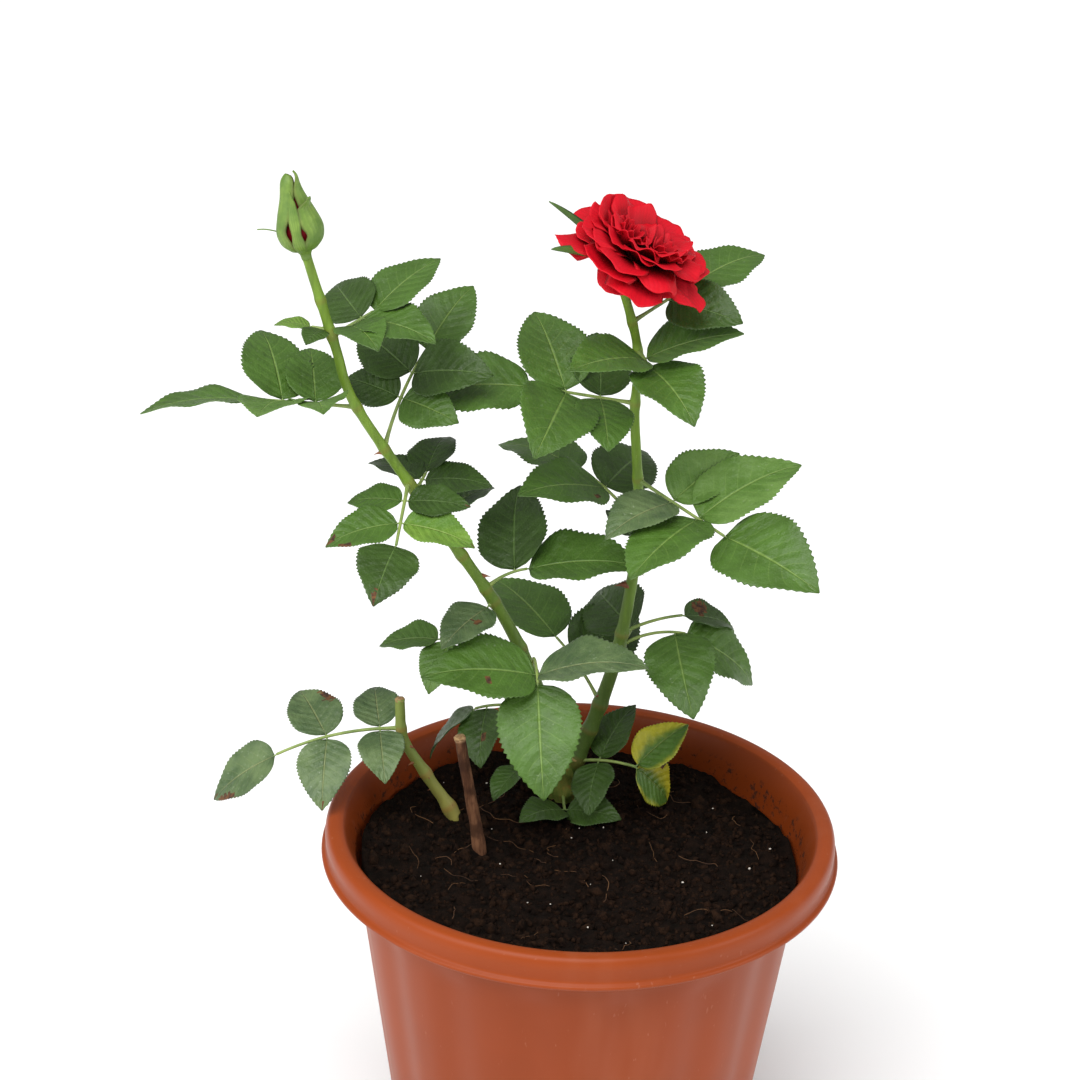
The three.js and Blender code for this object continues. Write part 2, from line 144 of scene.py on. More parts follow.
# Scorched marks: leaf, leaflet, where along it (0 base, 1 tip), where across it, and how wide.
SCORCHES = [
    ("leaf_left_burnt", 0, 0.95, 0.0, 0.3), ("leaf_left_front", 3, 0.93, -0.4, 0.22),
    ("leaf_left_front", 3, 0.75, 0.9, 0.16), ("leaf_left_front", 2, 1.0, 0.3, 0.14),
    ("leaf_left_front", 4, 0.9, -0.2, 0.2), ("leaf_left_front", 0, 1.0, 0.0, 0.24),
    ("leaf_stub", 4, 0.75, 0.9, 0.3), ("leaf_stub", 3, 0.6, -0.95, 0.26), ("leaf_stub", 4, 1.0, 0.0, 0.18),
    ("leaf_stub", 2, 0.95, 0.2, 0.12), ("leaf_front_broad", 0, 0.42, -0.25, 0.07),
    ("leaf_front_broad", 0, 0.62, -0.3, 0.06), ("leaf_front_broad", 0, 0.2, -0.5, 0.07),
    ("leaf_front_broad", 1, 0.45, 0.35, 0.04), ("leaf_left_low", 0, 0.35, 0.3, 0.13),
    ("leaf_left_hanging", 0, 0.5, 0.2, 0.12), ("leaf_right_large", 2, 0.95, 0.5, 0.08),
    ("leaf_right_low_back", 0, 0.3, 0.5, 0.3), ("leaf_foot_yellowing", 3, 0.35, 0.85, 0.14),
    ("leaf_foot_yellowing", 2, 0.8, 0.5, 0.08), ("leaf_right_back", 0, 0.2, 0.6, 0.07),
]

TINTS = "mdpofys"     # mid, deep, pale, old, fresh, yellowing, scorched: the order of the materials
LEAF_CLEAR = 2.4      # bare stalk between a joint and its leaflet
WIDTH_RATIO = 0.7     # a leaflet's width over its length
BARE_NODES = {"greenStub": [190, 207], "right": [206, 221], "left": [322, 452], "graft": [187, 199]}
PRICKLES = {          # stem: (height, bearing, length)
    "left": [(377, 200, 5), (310, 10, 5), (327, 350, 4.5), (330, 215, 3.5), (262, 190, 4), (352, 40, 4)],
    "right": [(300, 185, 7), (306, 355, 4), (255, 0, 7), (341, 100, 4), (287, 80, 4.5), (240, 215, 4)],
    "greenStub": [(199, 200, 3), (213, 220, 4), (192, 320, 3), (206, 290, 2.6), (221, 330, 3),
                  (187, 240, 2.6)],
}

# ---- numbers and noise ----

HASH_TURNS = np.array([12.9898, 78.233, 37.719])     # one for each axis of a cell
HASH_SPREAD = 43758.5453                             # brings out the last digits of a sine


def unit(vectors):
    """Vectors over their own lengths."""
    return vectors / np.maximum(np.linalg.norm(vectors, axis=-1, keepdims=True), 1e-12)


def smooth(low, high, x):
    """0 below low, 1 above high, and t squared times (3 - 2t) between."""
    t = np.clip((x - low) / (high - low), 0, 1)
    return t * t * (3 - 2 * t)


def lattice(cells, seed):
    """A repeatable number from -1 to 1 for each whole-numbered cell of space."""
    mixed = cells @ HASH_TURNS + seed * 3.17
    return np.modf(np.abs(np.sin(mixed) * HASH_SPREAD))[0] * 2 - 1


def uneven(n):
    """A repeatable number from -1 to 1 for each whole number."""
    x = abs(np.sin(n * HASH_TURNS[0]) * HASH_SPREAD)
    return 2 * (x - np.floor(x)) - 1


def noise(points, scale, seed=0):
    """Smooth noise from -1 to 1: the lattice's numbers blended over the cube each point is in."""
    at = np.asarray(points, float) / scale
    cell = np.floor(at)
    share = at - cell
    share = share * share * (3 - 2 * share)
    total = np.zeros(at.shape[:-1])
    for corner in np.ndindex(2, 2, 2):
        weight = np.prod(np.where(np.array(corner) == 1, share, 1 - share), axis=-1)
        total += weight * lattice(cell + corner, seed)
    return total


def fractal(points, scale, octaves=4, seed=0):
    """Noise at a scale plus half as much at half the scale, and so on."""
    return sum(noise(points, scale / 2**k, seed + k) / 2**k for k in range(octaves))


def heading(bearing, rise):
    """The unit vector (cos r cos b, cos r sin b, sin r) at a bearing b from +X towards +Y and a rise
    r above the level, both in degrees."""
    b, r = np.radians(bearing), np.radians(rise)
    return np.stack([np.cos(r) * np.cos(b), np.cos(r) * np.sin(b), np.sin(r) + 0 * b], axis=-1)


def turn_about(vector, axis, degrees):
    """A vector turned about a unit axis: v cos a + (k x v) sin a + k (k.v)(1 - cos a)."""
    a = np.radians(degrees)
    along = axis * np.dot(axis, vector) * (1 - np.cos(a))
    return vector * np.cos(a) + np.cross(axis, vector) * np.sin(a) + along


def through(points, per_span=12):
    """A Catmull-Rom curve: each span is the cubic whose slopes are half the chord of its neighbours."""
    p = np.asarray(points, float)
    p = np.vstack([2 * p[0] - p[1], p, 2 * p[-1] - p[-2]])
    t = np.linspace(0, 1, per_span, endpoint=False)[:, None, None]
    a, b, c, d = p[:-3], p[1:-2], p[2:-1], p[3:]
    curve = 0.5 * (2 * b + (c - a) * t + (2 * a - 5 * b + 4 * c - d) * t**2 + (3 * b - a - 3 * c + d) * t**3)
    return np.vstack([curve.transpose(1, 0, 2).reshape(-1, 3), p[-2]])


# ---- surfaces and meshes ----

# A surface runs along s from 0 at its foot to 1 at its tip, and across v from -1 to 1; one that goes
# round has an angle a for v. Its marks hold what its finish reads: s and v on a leaf or a petal.


def ring_faces(rings, sides):
    """Quads between neighbouring rings of a tube, each ring anticlockwise about the way of travel."""
    here = np.arange(rings - 1)[:, None] * sides + np.arange(sides)
    onward = np.roll(here, -1, axis=1)
    return np.stack([here, onward, onward + sides, here + sides], axis=-1).reshape(-1, 4)


def cap_faces(rings, sides, middle_first, middle_last):
    """Fans from the two end rings of a tube to the points in their middles."""
    foot = np.arange(sides)
    onward = np.roll(foot, -1)
    last = (rings - 1) * sides
    low = np.stack([np.full(sides, middle_first), onward, foot], axis=-1)
    high = np.stack([np.full(sides, middle_last), foot + last, onward + last], axis=-1)
    return np.vstack([low, high])


def sweep(path, radii, sides=10, shape=None):
    """A round section carried along a path: point = path + r(i, a) (cos a S + sin a T), where S and
    T are square to the path and shape(i, a) scales the radius."""
    along = unit(np.gradient(path, axis=0))
    steady = np.array([1.0, 0, 0]) if abs(along[:, 2]).mean() > 0.5 else np.array([0, 0, 1.0])
    side = unit(steady - along * (along @ steady)[:, None])
    other = np.cross(along, side)
    angle = np.linspace(0, 2 * np.pi, sides, endpoint=False)
    radius = np.broadcast_to(np.asarray(radii, float).reshape(-1, 1), (len(path), sides))
    if shape is not None:
        radius = radius * shape(np.arange(len(path))[:, None], angle[None, :])
    spokes = side[:, None] * np.cos(angle)[None, :, None] + other[:, None] * np.sin(angle)[None, :, None]
    rings = path[:, None] + radius[..., None] * spokes
    points = np.vstack([rings.reshape(-1, 3), path[:1], path[-1:]])
    count = len(path) * sides
    return points, ring_faces(len(path), sides), cap_faces(len(path), sides, count, count + 1)


def close_sheet(middle, thickness):
    """A thin closed solid about a sheet: each row of the grid becomes a loop that runs over the
    upper side, a half thickness out along the normal, and back under the lower side. Also gives
    the grid column of each point of a loop, and 1, 0 or -1 for the upper side, edge and underside."""
    rows, columns = middle.shape[:2]
    along = np.gradient(middle, axis=0)
    across = np.gradient(middle, axis=1)
    normal = unit(np.cross(along, across))
    inner = normal[:, 1:-1] * (thickness / 2)
    loop = np.concatenate([middle[:, :1], middle[:, 1:-1] + inner, middle[:, -1:],
                           (middle[:, 1:-1] - inner)[:, ::-1]], axis=1)
    sides = loop.shape[1]
    top = np.arange(columns)
    under = np.concatenate([[0], sides - np.arange(1, columns - 1), [columns - 1]])
    ends = np.stack([top[:-1], top[1:], under[1:], under[:-1]], axis=-1)
    last = (rows - 1) * sides
    quads = np.vstack([ring_faces(rows, sides)[:, ::-1], ends[1:-1], (ends[1:-1] + last)[:, ::-1]])
    corners = [[top[0], top[1], under[1]], [top[-2], top[-1], under[-2]]]
    tris = np.array(corners + [[c + last for c in reversed(corner)] for corner in corners])
    order = np.concatenate([top, np.arange(columns - 2, 0, -1)])
    upper = np.concatenate([[0.0], np.ones(columns - 2), [0.0], -np.ones(columns - 2)])
    return loop.reshape(-1, 3), quads, tris, order, upper


class Piece:
    """Surfaces gathered for one mesh, each with a material number and a vector for every point."""

    def __init__(self):
        """Starts with nothing in it."""
        self.points, self.faces, self.slots, self.marks = [], [], [], []
        self.count = 0

    def add(self, points, *face_sets, slot=0, marks=None):
        """Takes points and faces of three or four corners; slot is a number or one for each face."""
        self.faces += [faces + self.count for faces in face_sets]
        total = sum(len(faces) for faces in face_sets)
        self.slots.append(np.broadcast_to(np.asarray(slot), (total,)))
        self.points.append(points)
        self.marks.append(np.zeros((len(points), 3)) if marks is None else np.asarray(marks, float))
        self.count += len(points)

    def make(self, name, materials, cad_slot, nodes=()):
        """Puts the mesh into the scene, riding on the one body and standing for its CAD nodes."""
        mesh = bpy.data.meshes.new(name)
        corners = np.concatenate([faces.ravel() for faces in self.faces])
        sizes = np.concatenate([np.full(len(faces), faces.shape[1]) for faces in self.faces])
        mesh.vertices.add(self.count)
        mesh.vertices.foreach_set("co", np.vstack(self.points).astype(np.float32).ravel())
        mesh.loops.add(len(corners))
        mesh.loops.foreach_set("vertex_index", corners.astype(np.int32))
        mesh.polygons.add(len(sizes))
        starts = np.concatenate([[0], np.cumsum(sizes)[:-1]])
        mesh.polygons.foreach_set("loop_start", starts.astype(np.int32))
        mesh.polygons.foreach_set("use_smooth", np.ones(len(sizes), bool))
        mesh.polygons.foreach_set("material_index", np.concatenate(self.slots).astype(np.int32))
        marks = mesh.attributes.new("marks", "FLOAT_VECTOR", "POINT")
        marks.data.foreach_set("vector", np.vstack(self.marks).astype(np.float32).ravel())
        mesh.update(calc_edges=True)
        mesh.validate()
        for material in materials:
            mesh.materials.append(material)
        thing = bpy.data.objects.new(name, mesh)
        bpy.context.scene.collection.objects.link(thing)
        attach(thing, "root")
        if nodes:
            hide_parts(*nodes)


# ---- shader maths ----


class Field:
    """A number that varies over a surface, as a node socket: arithmetic on it adds Math nodes."""

    def __init__(self, finish, socket):
        """Keeps the finish that the node belongs to, and its socket."""
        self.finish = finish
        self.socket = socket

    def __add__(self, other):
        """This plus a field or number."""
        return self.finish.maths("ADD", self, other)

    def __sub__(self, other):
        """This less a field or number."""
        return self.finish.maths("SUBTRACT", self, other)

    def __mul__(self, other):
        """This times a field or number."""
        return self.finish.maths("MULTIPLY", self, other)

    def __rsub__(self, other):
        """A number less this."""
        return self.finish.maths("SUBTRACT", other, self)

    def __abs__(self):
        """This without its sign."""
        return self.finish.maths("ABSOLUTE", self)

    __radd__ = __add__
    __rmul__ = __mul__

    def between(self, low, high):
        """0 where this is at low, 1 where it is at high, eased and held outside."""
        inputs = {"Value": self, "From Min": low, "From Max": high}
        return self.finish.node("ShaderNodeMapRange", {"interpolation_type": "SMOOTHSTEP"}, inputs)


class Finish:
    """A material being built: node() adds any node, and the rest are its common uses."""

    def __init__(self, name):
        """Starts a material that has only its surface shader."""
        self.material = bpy.data.materials.new(name)
        self.material.use_nodes = True
        self.nodes = self.material.node_tree.nodes
        self.links = self.material.node_tree.links
        self.shader = self.nodes["Principled BSDF"]

    def put(self, socket, value):
        """Links a field to a socket, or sets a plain value on it."""
        if isinstance(value, Field):
            self.links.new(value.socket, socket)
        elif socket.type == "RGBA":
            socket.default_value = (*value, 1)
        else:
            socket.default_value = value

    def node(self, kind, settings=None, inputs=None, output=0):
        """Adds a node of a kind, sets its settings first and its inputs next, and gives one output."""
        node = self.nodes.new(kind)
        for key, value in (settings or {}).items():
            setattr(node, key, value)
        for key, value in (inputs or {}).items():
            self.put(node.inputs[key], value)
        return Field(self, node.outputs[output])

    def maths(self, operation, *values):
        """A Math node on fields and numbers."""
        return self.node("ShaderNodeMath", {"operation": operation}, dict(enumerate(values)))

    def place(self, scale=(1, 1, 1)):
        """Object coordinates, scaled along each axis."""
        coordinates = self.node("ShaderNodeTexCoord", output="Object")
        return self.node("ShaderNodeMapping", None, {"Vector": coordinates, "Scale": scale})

    def noise(self, scale, detail=3, where=None, rough=0.55):
        """Cloudy noise from about 0.2 to 0.8, with scale clouds to the metre."""
        inputs = {"Vector": where or self.place(), "Scale": scale, "Detail": detail, "Roughness": rough}
        return self.node("ShaderNodeTexNoise", None, inputs, "Fac")

    def mark(self, axis):
        """One axis of the piece's own marks: 0, 1 or 2."""
        marks = self.node("ShaderNodeAttribute", {"attribute_name": "marks"}, output="Vector")
        return self.node("ShaderNodeSeparateXYZ", None, {0: marks}, axis)

    def blend(self, share, first, second):
        """The first colour where share is 0, the second where it is 1."""
        return self.node("ShaderNodeMix", {"data_type": "RGBA"}, {0: share, 6: first, 7: second}, 2)

    def bump(self, height, distance, strength=1.0):
        """Raises the surface by a field times a distance, in the shader's normal."""
        inputs = {"Height": height, "Distance": distance, "Strength": strength}
        self.put(self.shader.inputs["Normal"], self.node("ShaderNodeBump", None, inputs))

    def surface(self, **sockets):
        """Sets sockets of the surface shader; an underscore in a name stands for a space."""
        for key, value in sockets.items():
            self.put(self.shader.inputs[key.replace("_", " ")], value)
        return self.material


def linear(red, green, blue):
    """An 8-bit sRGB colour as linear light: c / 12.92 when dark, else ((c + 0.055) / 1.055) ** 2.4."""
    c = np.array([red, green, blue]) / 255
    return tuple(float(v) for v in np.where(c <= 0.04045, c / 12.92, ((c + 0.055) / 1.055) ** 2.4))


def toned(colour, share):
    """A colour times a share, held at 1."""
    return tuple(min(1.0, c * share) for c in colour)


def two_tone(name, scale, detail, first, second, rough):
    """A plain finish: clouds of a second colour in the first."""
    finish = Finish(name)
    colour = finish.blend(finish.noise(scale, detail).between(0.3, 0.7), first, second)
    return finish.surface(Base_Color=colour, Roughness=rough)


# ---- pot ----

POT_SIDES = 256
RING_STEP = 0.9 * MM
COLLAR_STEP = 0.6 * MM     # how far the wall steps in under its plain collar
INNER_FLARE = 3.5 * MM     # how far the inner wall opens out behind the band


def revolve(profile, sides, shape=None):
    """Rings about the Z axis: point = (r cos a, r sin a, z) for each (r, z) of the profile, closed
    by a fan at both ends; shape(r, z, a) gives what is added to r and to z."""
    r, z = np.asarray(profile, float)[:, :2].T[:, :, None]
    angle = np.linspace(0, 2 * np.pi, sides, endpoint=False)[None, :]
    out, up = shape(r, z, angle) if shape else (0, 0)
    rings = np.stack([(r + out) * np.cos(angle), (r + out) * np.sin(angle), z + up + 0 * angle], axis=-1)
    middles = rings[[0, -1]].mean(axis=1)
    points = np.vstack([rings.reshape(-1, 3), middles])
    count = len(profile) * sides
    return points, ring_faces(len(profile), sides), cap_faces(len(profile), sides, count, count + 1)


def soften(profile, times=2):
    """A profile with its corners cut: each line keeps its middle half, over and over."""
    p = np.asarray(profile, float)
    for _ in range(times):
        near, far = p[:-1] * 0.75 + p[1:] * 0.25, p[:-1] * 0.25 + p[1:] * 0.75
        p = np.vstack([p[:1], np.stack([near, far], axis=1).reshape(-1, p.shape[1]), p[-1:]])
    return p


def respace(path, step):
    """Points at even steps along a path."""
    path = np.asarray(path, float)
    run = np.concatenate([[0], np.cumsum(np.linalg.norm(np.diff(path, axis=0), axis=1))])
    count = max(3, int(np.ceil(run[-1] / step)) + 1)
    at = np.linspace(0, run[-1], count)
    return np.stack([np.interp(at, run, path[:, k]) for k in range(path.shape[1])], axis=1)


def outer_wall(settings, z):
    """The outer wall's radius at a height: it narrows evenly on its way down from the band."""
    return settings.wall_radius - settings.wall_slope * (RIM_TOP - settings.band_height - z)


def pot_profile(settings):
    """The pot's section from its underside up the wall, over the rim and down to the floor inside."""
    foot = RIM_TOP - settings.band_height
    lip = LIP_RADIUS
    mouth = settings.mouth_radius
    inner = settings.wall_radius - settings.wall
    corners = [
        (outer_wall(settings, 0) - 4 * MM, 0), (outer_wall(settings, 0) - 1 * MM, 0.2 * MM),
        (outer_wall(settings, 0), 2 * MM), (outer_wall(settings, foot - 3 * MM), foot - 3 * MM),
        (settings.wall_radius, foot), (settings.wall_radius + 1.5 * MM, foot + 0.2 * MM),
        (lip - 1.5 * MM, foot), (lip, foot), (lip + 0.2 * MM, foot + 2.2 * MM),
        (lip - 2 * MM, foot + 2.6 * MM), (lip - 1.9 * MM, foot + 6 * MM),
        (lip - 1.5 * MM, RIM_TOP - 4 * MM), (lip - 3 * MM, RIM_TOP - 0.4 * MM),
        (lip - 6.5 * MM, RIM_TOP), (mouth + 3 * MM, RIM_TOP - 0.2 * MM), (mouth, RIM_TOP - 2 * MM),
        (inner, foot - 1 * MM), (outer_wall(settings, settings.wall) - settings.wall, settings.wall),
        (2 * MM, settings.wall),
    ]
    line = soften(corners)
    band = (line[:, 0] > mouth) & (line[:, 1] > foot - 12 * MM)
    first, last = np.flatnonzero(band)[[0, -1]]
    return np.vstack([respace(line[:first + 1], 4 * RING_STEP)[:-1], respace(line[first:last + 1], RING_STEP),
                      respace(line[last:], 4 * RING_STEP)[1:]])


def pot_shape(settings):
    """Shallow flutes on the outer wall, which fade into the plain collar below the band."""
    collar = RIM_TOP - settings.band_height - settings.collar

    def shape(r, z, angle):
        """What comes off the radius: the flutes' depth times ((1 - cos(flutes a)) / 2)^1.6, and a
        small step all round under the collar."""
        outside = smooth(-2.4 * MM, -1.2 * MM, r - outer_wall(settings, z))
        share = smooth(4 * MM, 12 * MM, z) * (1 - smooth(collar - 12 * MM, collar, z)) * outside
        hollow = (0.5 - 0.5 * np.cos(settings.flutes * angle)) ** 1.6
        step = COLLAR_STEP * outside * (1 - smooth(collar - 1 * MM, collar, z))
        return -settings.flute_depth * share * hollow - step, 0

    return shape


def plastic(settings):
    """Satin terracotta-coloured plastic with faint streaks and scuffs, with painted shade on the
    inner wall, and a little soil that clings to it just above the compost."""
    finish = Finish("terracotta_plastic")
    base = settings.pot_colour
    cloud = finish.noise(9, 4)
    streaks = finish.noise(30, 3, finish.place((1, 1, 0.12)))
    scuffs = finish.noise(420, 2, finish.place((1, 1, 0.35))).between(0.68, 0.76)
    colour = finish.blend(cloud.between(0.3, 0.7), toned(base, 0.9), toned(base, 1.08))
    colour = finish.blend(streaks.between(0.55, 0.85) * 0.12, colour, linear(196, 132, 104))
    colour = finish.blend(scuffs * 0.12, colour, linear(206, 160, 138))
    height = finish.node("ShaderNodeSeparateXYZ", None, {0: finish.place()}, 2)
    radius = finish.node("ShaderNodeVectorMath", {"operation": "LENGTH"}, {0: finish.place((1, 1, 0))}, 1)
    past_foot = height - (RIM_TOP - settings.band_height)
    flare = past_foot.between(0, settings.band_height) * INNER_FLARE
    past_wall = radius - settings.wall_radius - past_foot * settings.wall_slope - flare
    above_flutes = height.between(RIM_TOP - 26 * MM, RIM_TOP - 24 * MM)
    inside = above_flutes * (1 - past_wall.between(-1.6 * MM, -1 * MM))
    near_soil = inside * (1 - height.between(RIM_TOP - 13 * MM, RIM_TOP - 7 * MM))
    soil = finish.noise(240, 5, rough=0.7).between(0.53, 0.62) * near_soil
    # painted shade: the inner wall is darkened towards a third of the pot colour, where less light falls
    # inside the pot
    colour = finish.blend(inside * 0.4, colour, toned(base, 0.35))
    colour = finish.blend(soil * 0.85, colour, linear(38, 24, 16))
    rough = 0.34 + cloud * 0.12 + scuffs * 0.2 + soil * 0.4
    finish.bump(finish.noise(900, 2), 0.05 * MM, 0.35)
    return finish.surface(Base_Color=colour, Roughness=rough, Specular_IOR_Level=0.2)


def build_pot(settings):
    """Revolves the pot's section."""
    piece = Piece()
    piece.add(*revolve(pot_profile(settings), POT_SIDES, pot_shape(settings)))
    piece.make("pot_shell", [plastic(settings)], "pot_plastic", ["pot"])


# ---- compost ----

BED_SIDES = 300
BED_RINGS = 104
BED_FOOT = 0.02           # heights of the compost's side, from its foot to its shoulder,
BED_SHOULDER = 0.178
BED_BRIM = 0.18           # where its top meets the wall,
BED_LEVEL = 0.182         # and where its top lies before swells and lumps
BED_GAP = 0.8 * MM        # room between the compost and the wall
ICO_RATIO = (1 + 5**0.5) / 2


def compost_top(x, y):
    """The loose top's height: a slope up to the left, two swells, and lumps at three scales."""
    x, y = x / MM, y / MM
    swells = -0.035 * x + 1.6 * np.sin(x / 13 + 1) * np.cos(y / 17) + 1.2 * np.sin((x - 2 * y) / 23)
    flat = np.stack([x, y, 0 * x], axis=-1)
    lumps = 1.5 * fractal(flat, 15, 2, 3) + 1.5 * noise(flat, 5, 9) + 0.9 * np.abs(noise(flat, 2.3, 5))
    return BED_LEVEL + (swells + lumps) * MM


def compost_matter(name, colour, pale):
    """Dark peaty compost: two browns in clumps, with pale flecks on the fine grain painted as highlights,
    rough all over.
    """
    finish = Finish(name)
    clump = finish.noise(220, 5, rough=0.7)
    grain = finish.noise(1500, 3, rough=0.7)
    shade = finish.blend(clump.between(0.35, 0.7), colour, pale)
    # painted highlights: pale flecks where the fine grain stands up, standing in for light on the grains
    shade = finish.blend(grain.between(0.62, 0.8) * 0.4, shade, linear(70, 46, 30))
    finish.bump(grain + clump, 1.2 * MM, 1.0)
    return finish.surface(Base_Color=shade, Roughness=0.96, Specular_IOR_Level=0.08)


def ico_lumps(centres, sizes, rng, roughness=0.35):
    """Twenty-sided lumps: an icosahedron's corners, stretched and pushed about, at each centre."""
    g = ICO_RATIO
    corners = np.array([(-1, g, 0), (1, g, 0), (-1, -g, 0), (1, -g, 0), (0, -1, g), (0, 1, g), (0, -1, -g),
                        (0, 1, -g), (g, 0, -1), (g, 0, 1), (-g, 0, -1), (-g, 0, 1)], float)
    faces = np.array([(0, 11, 5), (0, 5, 1), (0, 1, 7), (0, 7, 10), (0, 10, 11), (1, 5, 9), (5, 11, 4),
                      (11, 10, 2), (10, 7, 6), (7, 1, 8), (3, 9, 4), (3, 4, 2), (3, 2, 6), (3, 6, 8),
                      (3, 8, 9), (4, 9, 5), (2, 4, 11), (6, 2, 10), (8, 6, 7), (9, 8, 1)])
    count = len(centres)
    push = 1 + roughness * rng.uniform(-1, 1, (count, 12, 1))
    stretch = rng.uniform(0.6, 1.3, (count, 1, 3))
    points = unit(corners)[None] * push * stretch * np.asarray(sizes)[:, None, None] + centres[:, None]
    return points.reshape(-1, 3), (faces[None] + 12 * np.arange(count)[:, None, None]).reshape(-1, 3)


def scatter(rng, count, radius):
    """Even random places on a disc, at the compost's top."""
    r = radius * np.sqrt(rng.uniform(0, 1, count))
    a = rng.uniform(0, 2 * np.pi, count)
    x, y = r * np.cos(a), r * np.sin(a)
    return np.stack([x, y, compost_top(x, y)], axis=1)


def settle(r, z, angle):
    """Lifts a point of the bed's level top to the loose top at its place."""
    loose = compost_top(r * np.cos(angle), r * np.sin(angle))
    return 0, np.where(z > BED_SHOULDER, loose - z, 0)


def build_compost(pot, settings):
    """The bed, which fills the pot, and the crumbs, root fibres and white specks that lie on it."""
    rng = np.random.default_rng(settings.seed)
    edge = outer_wall(pot, BED_BRIM) - pot.wall - BED_GAP
    foot = outer_wall(pot, pot.wall) - pot.wall - BED_GAP
    low = [(1 * MM, pot.wall + 0.4 * MM), (foot, pot.wall + 0.4 * MM)]
    heights = np.linspace(BED_FOOT, BED_SHOULDER, 6)
    wall = [(edge - pot.wall_slope * (BED_SHOULDER - z), z) for z in heights]
    top = [(edge * share, BED_LEVEL) for share in np.linspace(1, 0.006, BED_RINGS)]

    bed = Piece()
    bed.add(*revolve(low + wall + top, BED_SIDES, settle))
    dark = compost_matter("dark_compost", linear(13, 8, 5), linear(30, 19, 13))
    bed.make("compost_bed", [dark], "compost", ["compost"])

    crumbs = Piece()
    places = scatter(rng, settings.crumbs, edge - 3 * MM)
    sizes = rng.gamma(2, 0.42, settings.crumbs).clip(0.3, 3.4) * MM
    crumbs.add(*ico_lumps(places + [0, 0, 0.2 * MM], sizes, rng, 0.5))
    loose = compost_matter("crumb_compost", linear(17, 10, 7), linear(48, 31, 20))
    crumbs.make("compost_crumbs", [loose], "compost")

    fibres = Piece()
    for place in scatter(rng, settings.fibres, edge - 12 * MM):
        turn = rng.uniform(0, 360)
        bends = np.cumsum(rng.normal(0, 26, 7)) + turn
        steps = heading(bends, np.zeros(7)) * rng.uniform(1.4, 4.2) * MM
        path = place + np.vstack([[0, 0, 0], np.cumsum(steps, axis=0)])
        path[:, 2] = compost_top(path[:, 0], path[:, 1]) + rng.uniform(0.8, 2.2) * MM
        fibres.add(*sweep(through(path, 3), rng.uniform(0.07, 0.15) * MM, 5))
    straw = two_tone("root_fibre", 90, 2, linear(112, 76, 42), linear(64, 39, 22), 0.8)
    fibres.make("root_fibres", [straw], "compost")

    specks = Piece()
    places = scatter(rng, settings.specks, edge - 6 * MM) + [0, 0, 1.2 * MM]
    specks.add(*ico_lumps(places, rng.uniform(0.25, 0.6, settings.specks) * MM, rng, 0.2))
    chalk = Finish("white_speck")
    pale = chalk.blend(chalk.noise(500, 2), linear(170, 160, 148), linear(228, 222, 212))
    specks.make("white_specks", [chalk.surface(Base_Color=pale, Roughness=0.85)], "compost")


# ---- stems ----

BARK_SIDES = 22
BARK_STEP = 1.4
NODE_SWELL = 0.2          # how much thicker a stem is at a leaf, over its radius,
NODE_REACH = 2.6          # and how far up and down that goes
FOOT_SWELL = 0.2          # how much thicker it is at the compost,
FOOT_TOP = 184            # up to this height, fading above it


def stem_path(name, step=1.0):
    """A stem's centre line in millimetres, at even steps."""
    return respace(through(STEMS[name][0], 24), step)


def on_stem(name, height):
    """The point of a stem's centre line nearest to a height, in millimetres."""
    path = stem_path(name, 0.5)
    return path[np.argmin(np.abs(path[:, 2] - height))]


def node_heights(name):
    """Where leaves grow from a stem or once did."""
    return [leaf["at"] for leaf in LEAVES.values() if leaf["on"] == name] + BARE_NODES.get(name, [])


def bark(name, rough):
    """A stem's skin. Its radius is high + (low - high) (1 - s)^TAPER, times 1 + a swelling at each
    leaf that falls off as exp(-(dz / reach)^2), a flare at the foot, ridges and fine relief. Its
    marks are the share of the way up and how near a leaf it is."""
    path = stem_path(name, BARK_STEP)
    low, high = STEMS[name][1]
    radii = high + (low - high) * np.linspace(1, 0, len(path)) ** TAPER
    z = path[:, 2]
    swell = 0 * z + sum(NODE_SWELL * np.exp(-((z - at) / NODE_REACH) ** 2) for at in node_heights(name))
    foot = FOOT_SWELL * np.exp(-np.maximum(z - FOOT_TOP, 0) / 6)

    def shape(row, angle):
        """1 plus the swellings, five faint ridges and noise round the stem."""
        where = np.stack([path[row, 0] + 9 * np.cos(angle), path[row, 1] + 9 * np.sin(angle),
                          path[row, 2] + 0 * angle], axis=-1)
        ridges = 0.02 * np.cos(5 * angle + 0.02 * row)
        return 1 + swell[row] + foot[row] + ridges + rough * fractal(where, 6, 3, 11)

    points, sides, caps = sweep(path, radii, BARK_SIDES, shape)
    share = np.append(np.repeat(np.linspace(0, 1, len(path)), BARK_SIDES), [0, 1])
    near_node = np.append(np.repeat(np.clip(swell / NODE_SWELL, 0, 1), BARK_SIDES), [0, 0])
    marks = np.stack([share, near_node, np.zeros_like(share)], axis=1)
    return points * MM, sides, caps, marks


def green_skin(name, low, high, node):
    """Green rose bark: one colour at the foot and one at the top, with specks and its own colour at
    the nodes."""
    finish = Finish(name)
    up = finish.mark(0)
    streak = finish.noise(260, 4, finish.place((1, 1, 0.12)))
    colour = finish.blend(up.between(0.05, 0.75), low, high)
    colour = finish.blend(streak.between(0.35, 0.75) * 0.5, colour, toned(low, 0.62))
    specks = finish.noise(1300, 2).between(0.69, 0.75)
    colour = finish.blend(specks * 0.6, colour, linear(176, 172, 110))
    colour = finish.blend(finish.mark(1).between(0.6, 1.0) * 0.3, colour, node)
    finish.bump(streak + specks * 0.4, 0.25 * MM, 0.5)
    return finish.surface(Base_Color=colour, Roughness=0.48 + streak * 0.16, Specular_IOR_Level=0.4)


